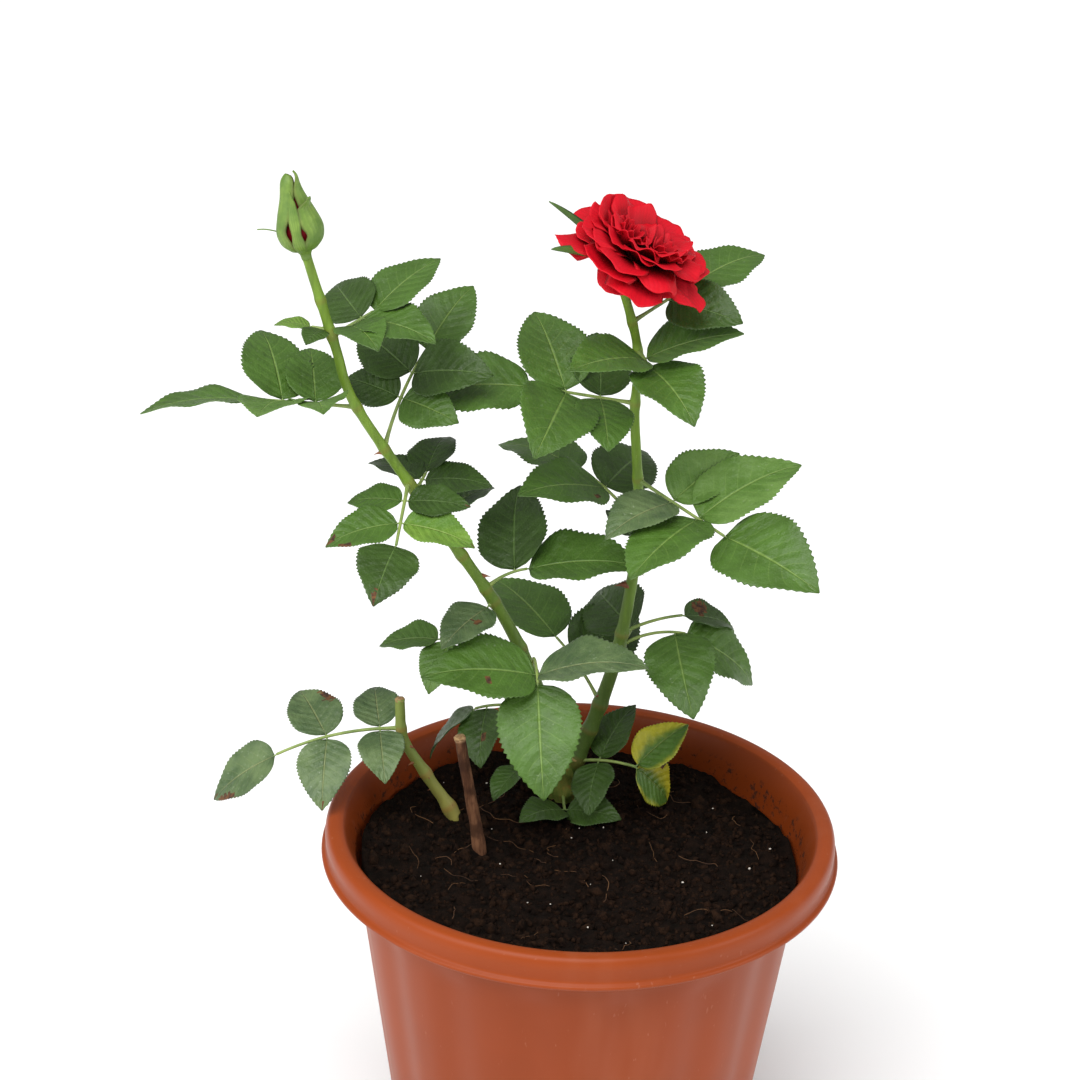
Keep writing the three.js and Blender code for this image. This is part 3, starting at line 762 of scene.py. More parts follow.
def old_bark(name, base, ridge, cut, blotched=None):
    """Dry woody bark: cracks along the stem, and a paler face where it was cut."""
    finish = Finish(name)
    grain = finish.noise(330, 6, finish.place((1, 1, 0.16)), 0.68)
    blotch = finish.noise(90, 4)
    colour = finish.blend(grain.between(0.38, 0.66), base, ridge)
    colour = finish.blend(blotch.between(0.5, 0.66) * 0.7, colour, blotched or toned(base, 0.5))
    colour = finish.blend(finish.mark(0).between(0.965, 0.99), colour, cut)
    finish.bump(grain, 0.9 * MM, 0.8)
    return finish.surface(Base_Color=colour, Roughness=0.86, Specular_IOR_Level=0.2)


def prickle(name, height, bearing, length):
    """A prickle: a cone of radius 0.34 length (1 - s)^1.5, whose line falls by 0.32 length s^2."""
    foot = on_stem(name, height)
    out = heading(bearing, 12)
    radius = STEMS[name][1][1]
    s = np.linspace(0, 1, 9)[:, None]
    path = foot + out * (radius * 0.6 + length * s) + np.array([0, 0, -0.32 * length]) * s**2
    return sweep(path * MM, (0.34 * length * (1 - s[:, 0]) ** 1.5 + 0.12) * MM, 10)


def ragged(row, angle):
    """The edge of a cut: the radius times 1 + sin(5a + row) / 20."""
    return 1 + 0.05 * np.sin(5 * angle + row)


def build_stems():
    """The barks, the cut tops of the stubs, and the prickles."""
    lower, upper, node = linear(74, 98, 34), linear(116, 148, 44), linear(120, 92, 42)
    cane_skin = green_skin("cane_skin", lower, upper, node)
    stub_skin = green_skin("green_stub_skin", linear(150, 140, 70), linear(116, 132, 58), linear(150, 84, 40))
    graft_bark = old_bark("graft_bark", linear(86, 106, 40), linear(120, 122, 56), linear(150, 128, 80),
                          linear(150, 82, 40))
    stub_bark = old_bark("brown_stub_bark", linear(72, 44, 28), linear(114, 78, 54), linear(176, 140, 104))
    skins = {
        "right_cane": ("right", 0.035, cane_skin, "green_cane"),
        "left_cane": ("left", 0.035, cane_skin, "green_cane"),
        "green_stub": ("greenStub", 0.07, stub_skin, "green_cane"),
        "graft_union": ("graft", 0.24, graft_bark, "old_wood"),
        "brown_stub": ("brownStub", 0.12, stub_bark, "old_wood"),
    }
    for node_name, (stem, rough, skin, slot) in skins.items():
        points, sides, caps, marks = bark(stem, rough)
        piece = Piece()
        piece.add(points, sides, caps, marks=marks)
        piece.make(f"{node_name}_bark", [skin], slot, [node_name])

    cuts = Piece()
    for stem, width in (("greenStub", 1.02), ("brownStub", 1.04)):
        path = stem_path(stem)
        radius = STEMS[stem][1][1]
        face = path[-1] + unit(path[-1] - path[-4]) * np.linspace(-1.2, 0.5, 5)[:, None]
        cuts.add(*sweep(face * MM, radius * width * MM * np.array([0.97, 1, 1, 0.97, 0.8]), 24, ragged))
    dry = Finish("dry_cut")
    rings = dry.noise(700, 4, rough=0.7)
    colour = dry.blend(rings.between(0.3, 0.7), linear(126, 92, 58), linear(178, 146, 102))
    dry.bump(rings, 0.4 * MM, 0.8)
    cuts.make("cut_tops", [dry.surface(Base_Color=colour, Roughness=0.9)], "old_wood")

    thorns = Piece()
    for stem, spines in PRICKLES.items():
        for height, bearing, length in spines:
            thorns.add(*prickle(stem, height, bearing, length))
    horn = two_tone("prickle_horn", 240, 2, linear(112, 58, 38), linear(150, 96, 58), 0.5)
    thorns.make("prickles", [horn], "old_wood")


# ---- leaves ----

BLADE_ROWS = 43
BLADE_COLUMNS = 13
BLADE_THICK = 0.4
LEAST_HALF = 0.35     # half the width at the very tip
TOOTH = 0.06          # how far a tooth stands out, over the half width,
TOOTH_LEAN = 0.012    # and how far it leans forwards, over the length
PUFF = 0.024          # height of the ground between side veins, over the half width
MARGIN_WAVES = 2.2    # waves along a margin
VEINS = 8             # side veins on each side of the midrib
SAG = 0.05            # rise of the arch from base to tip, over the length
FOLD = 0.16           # rise from the midrib to the margin, over the half width
STALK_STEP = 1.5


def stalk_of(leaf):
    """The stalk's path, and for each joint its point, way on, and upward side."""
    joints = leaf["leaflets"]
    total = leaf["stalk"] + leaf["gap"] * (len(joints) - 1)
    steps = max(4, int(np.ceil(total / 3)))
    shares = (np.arange(steps) + 0.5) / steps
    ways = heading(leaf["bearing"], leaf["rise"] + leaf["arch"] * shares)
    start = on_stem(leaf["on"], leaf["at"])
    path = start + np.vstack([[0, 0, 0], np.cumsum(ways * total / steps, axis=0)])
    frames = []
    for k in range(len(joints)):
        share = min(1, (leaf["stalk"] + leaf["gap"] * k) / total)
        point = np.array([np.interp(share * steps, np.arange(steps + 1), path[:, axis]) for axis in range(3)])
        along = heading(leaf["bearing"], leaf["rise"] + leaf["arch"] * share)
        side = turn_about(heading(leaf["bearing"] + 90, 0), along, -leaf["roll"])
        frames.append((point, along, np.cross(along, side)))
    return path, frames


def leaflets_of(leaf, seed):
    """Each leaflet's base, midrib, sideways way, normal and length, by the rule for a compound leaf:
    the further a pair stands from the tip, the more it turns off the stalk and the shorter it is."""
    _, frames = stalk_of(leaf)
    joints = leaf["leaflets"]
    made = []
    for joint, letters in enumerate(joints):
        point, along, up = frames[joint]
        for k, letter in enumerate(letters):
            behind = len(joints) - 1 - joint
            n = seed * 40 + joint * 8 + k * 4
            sign = {"l": 1, "r": -1, "t": 0}[letter]
            turn = sign * (SIDE_TURN + TURN_STEP * behind) + UNEVEN["turn"] * uneven(n)
            lift = leaf["cup" if sign else "nod"] + UNEVEN["lift"] * uneven(n + 1)
            tilt = UNEVEN["tilt"] * uneven(n + 2)
            length = leaf["size"] * (1 - SHORTER * behind**2) * (1 + UNEVEN["length"] * uneven(n + 3))
            flat = turn_about(along, up, turn)
            across = np.cross(up, flat)
            midrib = turn_about(flat, across, -lift)
            normal = np.cross(midrib, across)
            across, normal = turn_about(across, midrib, tilt), turn_about(normal, midrib, tilt)
            made.append((point, midrib, across, normal, length))
    return made


def blade(base, midrib, across, normal, length, rng):
    """A leaflet blade. Half its width at share s is sqrt(s / 0.4) ((1 - s) / 0.6)^0.92 times
    WIDTH_RATIO length / 2, with forward teeth. Over its flat it rises by a fold |v|^1.3, an arch
    4 s (1 - s), puffs between the side veins and waves |v|^3 at the margin, less a droop s^4."""
    s = np.linspace(0, 1, BLADE_ROWS)[:, None]
    v = np.sin(np.linspace(-1, 1, BLADE_COLUMNS) * np.pi / 2)[None, :]
    half = np.sqrt(s / 0.4) * ((1 - s) / 0.6) ** 0.92 * WIDTH_RATIO * length / 2
    tooth = (np.arange(BLADE_ROWS)[:, None] % 2) * smooth(0.06, 0.16, s) * (1 - smooth(0.93, 1, s))
    edge = smooth(0.8, 1, np.abs(v))
    half = np.maximum(LEAST_HALF, half * (0.985 + TOOTH * tooth * edge))
    lean = TOOTH_LEAN * length * tooth * edge
    wave = rng.uniform(0.03, 0.08)
    phase = rng.uniform(0, 6.3, 2)
    droop = rng.uniform(0.01, 0.09)
    fold = FOLD * rng.uniform(0.5, 1.5)
    side = np.where(v < 0, phase[0], phase[1])
    puff = np.sin(2 * np.pi * VEINS * (s - 0.25 * np.abs(v)) + 1) * 4 * np.abs(v) * (1 - np.abs(v))
    lift = (fold * np.abs(v) ** 1.3 * half + 4 * SAG * length * s * (1 - s) - droop * length * s**4
            + PUFF * half * puff + wave * half * np.abs(v) ** 3 * np.sin(2 * np.pi * MARGIN_WAVES * s + side))
    bend = rng.uniform(-0.035, 0.035) * length * s**2
    start = min(LEAF_CLEAR, 0.08 * length)
    on = start + s * (length - start) + lean - 0.03 * length * np.abs(v) * (1 - s)
    middle = (base + on[..., None] * midrib + (v * half + bend)[..., None] * across
              + lift[..., None] * normal)
    points, quads, tris, order, upper = close_sheet(middle, BLADE_THICK)
    along = np.repeat(s[:, 0], len(order))
    sideways = np.tile(v[0][order], BLADE_ROWS)
    faces_up = np.tile(upper, BLADE_ROWS) * rng.uniform(0.3, 1.0)
    return points, quads, tris, np.stack([along, sideways, faces_up], axis=1), middle


def scorched(faces, marks, spots, rng):
    """Which faces of a blade lie in its scorched spots: round patches with a ragged edge."""
    at = marks[faces].mean(axis=1)
    dead = np.zeros(len(faces), bool)
    for s, v, width in spots:
        off = np.hypot(at[:, 0] - s, 0.4 * (at[:, 1] - v))
        dead |= off < width * 0.5 * (1 + 0.25 * rng.uniform(-1, 1, len(off)))
    return dead


def leaf_tint(name, colour, shade, vein, mottle, under, turning=None):
    """One leaf colour: pale midrib and side veins, puffed ground between them, a paler underside,
    and powdery specks that grow with mottle. A turning leaf takes that colour from one side and
    from its margin."""
    finish = Finish(f"leaf_{name}")
    s, v, up = finish.mark(0), abs(finish.mark(1)), finish.mark(2)
    cloud = finish.noise(70, 4)
    ground = finish.blend(cloud.between(0.3, 0.72), shade, colour)
    if turning:
        patchy = cloud * 0.5 + finish.noise(200, 3) * 0.4
        ground = finish.blend((finish.mark(1) * 0.7 + patchy).between(0.45, 0.95) * 0.9, ground, turning)
        ground = finish.blend((v + patchy - 0.45).between(0.7, 1.05) * 0.6, ground, turning)
    midrib = 1 - v.between(0.01, 0.05)
    ladder = finish.maths("PINGPONG", (s - v * 0.25) * VEINS, 0.5)
    rungs = (1 - ladder.between(0.0, 0.07)) * (1 - v.between(0.35, 0.95))
    ground = finish.blend(rungs * 0.16, ground, vein)
    ground = finish.blend(midrib * 0.45, ground, vein)
    grit = finish.noise(520, 4, rough=0.7).between(0.6, 0.72) * finish.noise(60, 2).between(0.35, 0.65)
    ground = finish.blend(grit * mottle, ground, linear(172, 182, 158))
    ground = finish.blend(1 - up.between(-0.2, 0.1), ground, under)
    crinkle = finish.noise(190, 5, rough=0.6)
    finish.bump(ladder * 0.6 - midrib * 0.5 + crinkle * 1.3 + cloud * 0.3, 1.1 * MM, 0.8)
    return finish.surface(Base_Color=ground, Roughness=0.36 + cloud * 0.2, Specular_IOR_Level=0.42)


def leaf_tints(settings):
    """The leaf colours in the order of TINTS."""
    green = tuple(settings.leaf_colour)
    vein, under = linear(138, 166, 84), linear(112, 138, 86)
    scorch = Finish("leaf_scorched")
    burn = scorch.noise(380, 4, rough=0.7)
    brown = scorch.blend(burn.between(0.35, 0.65), linear(46, 28, 16), linear(110, 70, 36))
    scorch.bump(burn, 0.5 * MM, 0.7)
    return [
        leaf_tint("mid", green, toned(green, 0.72), vein, 0.25, under),
        leaf_tint("deep", toned(green, 0.62), toned(green, 0.4), linear(110, 140, 74), 0.15,
                  linear(96, 124, 84)),
        leaf_tint("pale", linear(96, 128, 58), green, vein, 0.35, under),
        leaf_tint("old", linear(98, 118, 74), linear(66, 88, 52), linear(146, 152, 100), 0.7, under),
        leaf_tint("fresh", linear(112, 146, 54), linear(84, 120, 44), linear(160, 180, 96), 0.1, under),
        leaf_tint("yellowing", green, toned(green, 0.8), linear(120, 132, 60), 0.2, under,
                  linear(172, 164, 36)),
        scorch.surface(Base_Color=brown, Roughness=0.85),
    ]


def build_leaves(settings):
    """The blades in pieces by place on the plant, then all the leaf stalks and all the ribs."""
    rng = np.random.default_rng(settings.seed + 1)
    tints = leaf_tints(settings)
    seeds = {name: n for n, name in enumerate(LEAVES)}
    stalks, ribs = Piece(), Piece()
    for piece_name, names in LEAF_PIECES.items():
        piece = Piece()
        for name in names:
            leaf = LEAVES[name]
            path, _ = stalk_of(leaf)
            fine = respace(through(path, 4), STALK_STEP)
            run = np.arange(len(fine)) * STALK_STEP
            widths = (0.85 + 0.9 * np.exp(-run / 3)) * np.linspace(1, 0.8, len(fine))
            stalks.add(*sweep(fine * MM, widths * MM, 8))
            for k, parts in enumerate(leaflets_of(leaf, seeds[name])):
                base, _, _, normal, _ = parts
                points, quads, tris, marks, middle = blade(*parts, rng)
                spots = [spot[2:] for spot in SCORCHES if spot[:2] == (name, k)]
                slot = np.full(len(quads) + len(tris), TINTS.index(leaf["tints"][k]))
                dead = np.concatenate([scorched(quads, marks, spots, rng), scorched(tris, marks, spots, rng)])
                slot[dead] = TINTS.index("s")
                piece.add(points * MM, quads, tris, slot=slot, marks=marks)
                rib = np.vstack([base, middle[:-4, BLADE_COLUMNS // 2] - normal * BLADE_THICK / 2])
                ribs.add(*sweep(rib * MM, np.linspace(0.42, 0.1, len(rib)) * MM, 6))
        piece.make(piece_name, tints, "leaves", names)
    green = two_tone("leaf_stalk", 120, 3, linear(110, 132, 66), linear(142, 160, 84), 0.5)
    stalks.make("leaf_stalks", [green], "leaves")
    pale = two_tone("leaf_rib", 200, 2, linear(112, 138, 78), linear(150, 170, 106), 0.5)
    ribs.make("leaf_ribs", [pale], "leaves")


# ---- bloom and bud ----

RED_PETAL = "red_petal"
PETAL_ROWS = 20
PETAL_COLUMNS = 17
# Layers of petals from the outside in: count, length, half width, rise of the petal at its foot
# and at its margin in degrees, distance of its foot from the axis, and height of its foot.
PETAL_LAYERS = [
    (7, 28, 15, 16, -4, 3.5, 5), (8, 27, 14, 26, 4, 3.2, 6.5), (8, 25, 12, 38, 14, 3, 7.5),
    (8, 21, 10, 52, 30, 2.8, 8.5),
]
# Petals out of line: one stands up behind on the left, others fold down in front and on the right.
STRAY_PETALS = [(142, 26, 15, 34, 44, 6, 6), (250, 20, 12, 6, -36, 4, 5), (290, 22, 12, 12, -18, 4, 5),
                (338, 32, 10, 16, -12, 3.5, 5), (18, 31, 14, 20, 8, 3.5, 6), (192, 32, 10, 10, -14, 4, 5)]
EYE_LAYERS = [(6, 15, 8, 62, 48, 2.6, 9), (5, 12, 6.5, 74, 70, 1.8, 9.5), (4, 10, 5, 84, 96, 1.0, 10)]
EYES = [(-8, 1.5), (8, -1.5)]              # the two whorls of small petals, beside the head's middle
GOLDEN_TURN = 137.5                        # degrees from one layer of petals to the next
BLOOM_HEART = [(0.4, 3), (4, 3.2), (8, 4), (10, 5.4), (8, 7), (4, 8.4), (0.4, 8.6)]    # radius, height
BLOOM_SEPALS = [(160, 38), (206, 35), (300, 16), (30, 15), (90, 20)]       # azimuth, length
HEAD_SHIFT = np.array([4.0, 1.0, 0.5])     # the petals' middle beside the neck's axis
BLOOM_LEAN = (0.44, -0.15, 0.885)
BUD_LEAN = (-0.21, 0, 0.978)
# The bud's sepals: azimuth, height of the tip, how far the tip parts from the bud, the share of the
# height where it starts to narrow, half the angle it wraps, and how much further it wraps at the tip.
BUD_SEPALS = [(208, 36.8, 0.2, 0.98, 43, 2.4), (267, 30, 0.2, 0.8, 20, 0), (320, 27, 5, 0.76, 43, 0),
              (350, 37.5, 1.2, 0.72, 50, 0.9), (110, 34, 0.4, 0.85, 50, 0.4)]
DOME_START = 0.86     # share of its height where the hooded sepal starts to close over the tip
SEPAL_FOOT = 3.2      # height of the bud's sepals at their foot, and their thickness
SEPAL_THICK = 0.55
SEPAL_THREAD = [(-8, 1, 11), (-12, 0, 13.2), (-15, 0, 14.2), (-18, 0, 14.6)]    # stands out to the left
NECK = 1.2


def flower_frame(stem, lean):
    """Where a flower sits on its stem, and the matrix whose columns are its own axes."""
    path = stem_path(stem)
    neck = path[-1] + unit(path[-1] - path[-3]) * NECK
    axis = unit(np.array(lean, float))
    side = unit(np.array([1.0, 0, 0]) - axis * axis[0])
    return neck, np.stack([side, np.cross(axis, side), axis], axis=1)


def midline(s, length, foot_rise, rim_rise, power=1):
    """How far out and up a petal's middle lies: the sums of cos and sin of its rise over even steps,
    where the rise goes from foot_rise to rim_rise as s^power."""
    rise = np.radians(foot_rise + (rim_rise - foot_rise) * s**power)
    step = length / (len(s) - 1)
    return np.cumsum(np.cos(rise), axis=0) * step, np.cumsum(np.sin(rise), axis=0) * step


def petal(azimuth, length, width, foot_rise, rim_rise, foot, height, rng):
    """A petal in the flower's own frame, on its midline. Half its width is width times
    sin(1.25 s of a quarter turn)^0.8, wrapped round the axis as an angle of half the width over
    the radius. It cups as v^2, waves as s^2.5 sin(v) and rolls back at the margin."""
    s = np.linspace(0, 1, PETAL_ROWS)[:, None]
    v = np.linspace(-1, 1, PETAL_COLUMNS)[None, :]
    reach = s * (1 - 0.2 * np.abs(v) ** 2.4) + 0.05 * s**3 * np.cos(3 * v + rng.uniform(0, 6))
    out, up = midline(s, length, foot_rise, rim_rise, 1.3)
    radius = foot + np.interp(reach, s[:, 0], out[:, 0])
    level = height + np.interp(reach, s[:, 0], up[:, 0])
    half = width * np.sin(np.pi / 2 * np.clip(s * 1.25, 0, 1)) ** 0.8 + 1.2
    wrap = half / np.maximum(radius + 5, 6)
    roll = -rng.uniform(0.5, 3.2) * smooth(0.72, 1, s) * (0.4 + v**2)
    waves = rng.uniform(0.7, 1.9) * s**2.5 * np.sin(rng.uniform(3, 5.5) * v + rng.uniform(0, 6.3))
    waves = waves + 0.3 * s**4 * np.sin(11 * v + rng.uniform(0, 6.3))
    cup = rng.uniform(0.5, 2.4) * v**2 * s * (1 - 0.4 * s)
    angle = np.radians(azimuth) + v * wrap
    z = level + cup + waves + roll
    return np.stack([radius * np.cos(angle), radius * np.sin(angle), z], axis=-1)


def planted(points, frame_of):
    """Points of a flower's own frame put on the plant, in metres: neck + x side + y other + z axis."""
    neck, axes = frame_of
    return (neck + points @ axes.T) * MM


def add_sheet(piece, middle, thickness, frame_of, depth_shade=0.5):
    """Closes a sheet, puts it in its flower's place and adds it to a piece."""
    rows, columns = middle.shape[:2]
    points, quads, tris, order, _ = close_sheet(middle[:, ::-1], thickness)
    share = np.repeat(np.linspace(0, 1, rows), len(order))
    sideways = np.tile(np.linspace(-1, 1, columns)[order], rows)
    marks = np.stack([share, sideways, np.full(len(share), depth_shade)], axis=1)
    piece.add(planted(points, frame_of), quads, tris, marks=marks)


def petal_skin(settings):
    """Velvety red petals with painted shade towards the foot and on the inner layers, with fine veins
    from foot to margin. The bloom and the bud share it."""
    if RED_PETAL in bpy.data.materials:
        return bpy.data.materials[RED_PETAL]
    finish = Finish(RED_PETAL)
    red = settings.petal_colour
    s, v, depth_shade = finish.mark(0), finish.mark(1), finish.mark(2)
    cloud = finish.noise(80, 3)
    # painted shade: each petal darkens towards its foot, and the inner layers and the eyes darker still,
    # where the bloom's recesses lie in shade
    colour = finish.blend(s.between(0.25, 1.0), toned(red, 0.24), toned(red, 1.2))
    colour = finish.blend(cloud.between(0.45, 0.75) * 0.3, colour, linear(214, 26, 50))
    colour = finish.blend(depth_shade * 0.35, colour, toned(red, 0.6))
    veins = finish.maths("PINGPONG", v * 6 + cloud * 2, 0.5)
    colour = finish.blend((1 - veins.between(0.05, 0.3)) * 0.12, colour, toned(red, 0.5))
    finish.bump(veins + cloud, 0.3 * MM, 0.4)
    return finish.surface(Base_Color=colour, Roughness=0.52 + cloud * 0.12, Specular_IOR_Level=0.2)


def sepal_skin(name, edge, dark=linear(84, 116, 36), light=linear(118, 146, 56)):
    """Light green sepals and hips with a darker or reddish cast at the margins."""
    finish = Finish(name)
    cloud = finish.noise(150, 4)
    colour = finish.blend(cloud.between(0.3, 0.7), dark, light)
    ribs = finish.maths("PINGPONG", finish.mark(1) * 3 + cloud, 0.5)
    colour = finish.blend(ribs.between(0.1, 0.4) * 0.35, colour, dark)
    colour = finish.blend(abs(finish.mark(1)).between(0.6, 1.0) * 0.6, colour, edge)
    finish.bump(ribs + cloud, 0.3 * MM, 0.5)
    return finish.surface(Base_Color=colour, Roughness=0.55)


def sepal(azimuth, length, width, foot_rise, rim_rise, foot, height):
    """A narrow sepal on a midline: half its width is width (1 - s)^0.8 (0.55 + 1.2 s)."""
    s = np.linspace(0, 1, PETAL_ROWS)[:, None]
    v = np.linspace(-1, 1, 7)[None, :]
    out, up = midline(s, length, foot_rise, rim_rise)
    half = width * (1 - s) ** 0.8 * (0.55 + 1.2 * s) + 0.25
    outward, side = heading(azimuth, 0), heading(azimuth + 90, 0)
    level = height + up + 0.3 * v**2 * half
    return (foot + out)[..., None] * outward + level[..., None] * [0, 0, 1] + (v * half)[..., None] * side


def hip(length, foot, belly):
    """The green swelling below a flower: r = foot + (belly - foot) sin^2 of its share, up to the neck."""
    s = np.linspace(0, 1, 16)
    radius = foot + (belly - foot) * np.sin(s * np.pi * 0.62) ** 2
    return np.stack([radius, s * length], axis=1)


def add_round(piece, profile, frame_of, sides=24, shift=0, shape=None):
    """Revolves a profile about a flower's own axis and adds it to a piece."""
    points, *faces = revolve(profile, sides, shape)
    piece.add(planted(points + shift, frame_of), *faces)


def build_bloom(settings):
    """The petals in layers about a heart, with two whorls of small ones, and the calyx below."""
    rng = np.random.default_rng(settings.seed + 2)
    frame_of = flower_frame("right", BLOOM_LEAN)
    thick = settings.petal_thick / MM
    petals = Piece()
    turn = 20
    for layer, (count, length, width, rise, rim, foot, height) in enumerate(PETAL_LAYERS):
        for k in range(count):
            azimuth = turn + 360 * k / count + rng.uniform(-9, 9)
            size = rng.uniform(0.86, 1.1)
            angles = [rise + rng.normal(0, 7), rim + rng.normal(0, 9), foot, height]
            middle = petal(azimuth, length * size, width * size, *angles, rng) + HEAD_SHIFT
            # the last number is the painted shade, deeper for each inner layer and in the eyes
            add_sheet(petals, middle, thick, frame_of, 0.12 * layer)
        turn += GOLDEN_TURN
    for stray in STRAY_PETALS:
        add_sheet(petals, petal(*stray, rng) + HEAD_SHIFT, thick, frame_of, 0.1)
    # the heart has no marks, so it takes the petals' darkest foot colour: painted shade in the bloom's middle
    add_round(petals, BLOOM_HEART, frame_of, shift=HEAD_SHIFT)
    for x, y in EYES:
        for layer, (count, length, width, *angles) in enumerate(EYE_LAYERS):
            for k in range(count):
                azimuth = turn + 360 * k / count + rng.uniform(-14, 14)
                middle = petal(azimuth, length * rng.uniform(0.88, 1.1), width, *angles, rng)
                middle = middle + HEAD_SHIFT + [x, y, 0]
                add_sheet(petals, middle, thick, frame_of, 0.4 + 0.2 * layer)
            turn += GOLDEN_TURN
    petals.make("bloom_petals", [petal_skin(settings)], "petals", ["bloom"])

    calyx = Piece()
    for k, (azimuth, length) in enumerate(BLOOM_SEPALS):
        add_sheet(calyx, sepal(azimuth, length, 5.4, 14 - 5 * k, 2 - 9 * k, 2, 3.5), 0.5, frame_of)
    add_round(calyx, hip(6, 2.3, 4.6), frame_of)
    skin = sepal_skin("bloom_sepal", linear(40, 66, 24), linear(66, 96, 36), linear(84, 116, 44))
    calyx.make("bloom_calyx", [skin], "bud_green")


def bud_radius(height):
    """The bud's own outline: its radius at a height above the neck."""
    outline = through([(-2, 2.0, 0), (1, 2.6, 0), (4, 5.8, 0), (7, 8.3, 0), (12, 9.2, 0), (18, 7.6, 0),
                       (26, 4.7, 0), (32, 3.1, 0), (35.5, 2.1, 0), (38, 0.5, 0)])
    return np.interp(height, outline[:, 0], outline[:, 1])


def furled(r, z, angle):
    """Three soft folds that wind up the furled petals: a twentieth of the radius times sin(3a + 0.28z)."""
    return 0.05 * r * np.sin(3 * angle + 0.28 * z), 0


def bud_sepal(azimuth, reach, part, blunt, wrap, hood):
    """A sepal that lies on the bud from its foot to its reach: its point at height h is the bud's
    radius there, and it wraps the bud by wrap less a gape low down, narrows to its tip from the
    share blunt up, and parts from the bud near the tip. A hooded one closes over the tip."""
    s = np.linspace(0, 1, 34)[:, None]
    v = np.linspace(-1, 1, 11)[None, :]
    height = SEPAL_FOOT + s * (reach - SEPAL_FOOT)
    gape = 0.4 * np.exp(-((s - 0.33) / 0.15) ** 2)
    half = np.radians(wrap) * (1.08 - gape - 0.3 * s**2 + hood * s**3)
    half = half * (1 - 0.85 * smooth(blunt, 1, s))
    dome = np.sqrt(1 - np.clip((s - DOME_START) / (1 - DOME_START), 0, 0.98) ** 2) if hood > 1 else 1
    radius = (bud_radius(height) + 0.5 + 0.35 * (1 - v**2)) * dome + part * smooth(0.7, 1, s) ** 2
    angle = np.radians(azimuth) + v * half
    return np.stack([radius * np.cos(angle), radius * np.sin(angle), height + 0 * v], axis=-1)


def build_bud(settings):
    """The furled petals, and the sepals round them with the green swelling below."""
    frame_of = flower_frame("left", BUD_LEAN)
    heights = np.linspace(3, 27, 25)
    heart = Piece()
    profile = np.stack([bud_radius(heights) * 0.9 - 0.3, heights], axis=1)
    add_round(heart, profile, frame_of, 40, shape=furled)
    heart.make("bud_petals", [petal_skin(settings)], "petals")

    sepals = Piece()
    for row in BUD_SEPALS:
        add_sheet(sepals, bud_sepal(*row), SEPAL_THICK, frame_of)
    sepals.add(*sweep(planted(through(SEPAL_THREAD, 6), frame_of), 0.3 * MM, 6))
    low = np.linspace(-2, 5.4, 14)
    add_round(sepals, np.stack([bud_radius(low) + 0.2, low], axis=1), frame_of)
    sepals.make("bud_sepals", [sepal_skin("bud_sepal", linear(84, 84, 40))], "bud_green", ["bud"])


# ---- stage ----

LENS = 100
CAMERA_AIM = (-22.8 * MM, 0, 343 * MM)      # the point on the pot's middle plane that the camera faces
CAMERA_DISTANCE = 1.333
LIGHTS = [      # name, place, size and strength of each soft light
    ("left_light", (-1.3, -0.7, 1.0), 0.9, 9), ("right_light", (1.3, -0.5, 0.9), 0.9, 8),
]
LIGHT_AIM = (0, 0, 0.25)
OVERHEAD_AIM = (0.25, 0.55, -1)      # the way the overhead light shines,
OVERHEAD_POWER = 2.9
OVERHEAD_WIDTH = 50                  # and how wide it is in the sky, in degrees
FLOOR_REACH = 30


def add_camera(settings):
    """The camera: it looks along (0, cos tilt, -sin tilt) at its aim, turned by roll about that line."""
    tilt, roll = settings.tilt, settings.camera_roll
    forward = Vector((0, np.cos(tilt), -np.sin(tilt)))
    camera = bpy.data.objects.new("camera", bpy.data.cameras.new("camera"))
    camera.data.lens = LENS
    camera.data.clip_end = 100
    place = Vector(CAMERA_AIM) - forward * CAMERA_DISTANCE
    right = Vector((1, 0, 0))
    up = right.cross(forward)
    x_axis = right * np.cos(roll) + up * np.sin(roll)
    y_axis = up * np.cos(roll) - right * np.sin(roll)
    turned = Matrix((x_axis, y_axis, -forward)).transposed().to_4x4()
    camera.matrix_world = Matrix.Translation(place) @ turned
    bpy.context.scene.collection.objects.link(camera)
    bpy.context.scene.camera = camera


def add_light(name, kind, power, way, place=(0, 0, 0)):
    """A lamp at a place that shines one way; gives its data."""
    lamp = bpy.data.lights.new(name, kind)
    lamp.energy = power
    light = bpy.data.objects.new(name, lamp)
    light.location = place
    light.rotation_euler = Vector(way).to_track_quat("-Z", "Y").to_euler()
    bpy.context.scene.collection.objects.link(light)
    return lamp


def build_stage(settings):
    """The camera, the lamps, the pale floor and the light from all round."""
    add_camera(settings)
    for name, at, size, power in LIGHTS:
        lamp = add_light(name, "AREA", power * settings.light, Vector(LIGHT_AIM) - Vector(at), at)
        lamp.size = size
    sun = add_light("overhead_light", "SUN", OVERHEAD_POWER * settings.light, OVERHEAD_AIM)
    sun.angle = np.radians(OVERHEAD_WIDTH)

    mesh = bpy.data.meshes.new("floor")
    corners = [(x * FLOOR_REACH, y * FLOOR_REACH, 0) for x, y in ((-1, -1), (1, -1), (1, 1), (-1, 1))]
    mesh.from_pydata(corners, [], [(0, 1, 2, 3)])
    floor = bpy.data.objects.new("floor", mesh)
    pale = Finish("pale_floor")
    mesh.materials.append(pale.surface(Base_Color=(0.93, 0.93, 0.93), Roughness=0.9))
    bpy.context.scene.collection.objects.link(floor)

    world = bpy.data.worlds.new("studio")
    world.use_nodes = True
    world.node_tree.nodes["Background"].inputs[0].default_value = (1, 1, 1, 1)
    world.node_tree.nodes["Background"].inputs[1].default_value = settings.sky
    bpy.context.scene.world = world
    bpy.context.scene.view_settings.view_transform = "Standard"


# ---- the add-on's parts ----


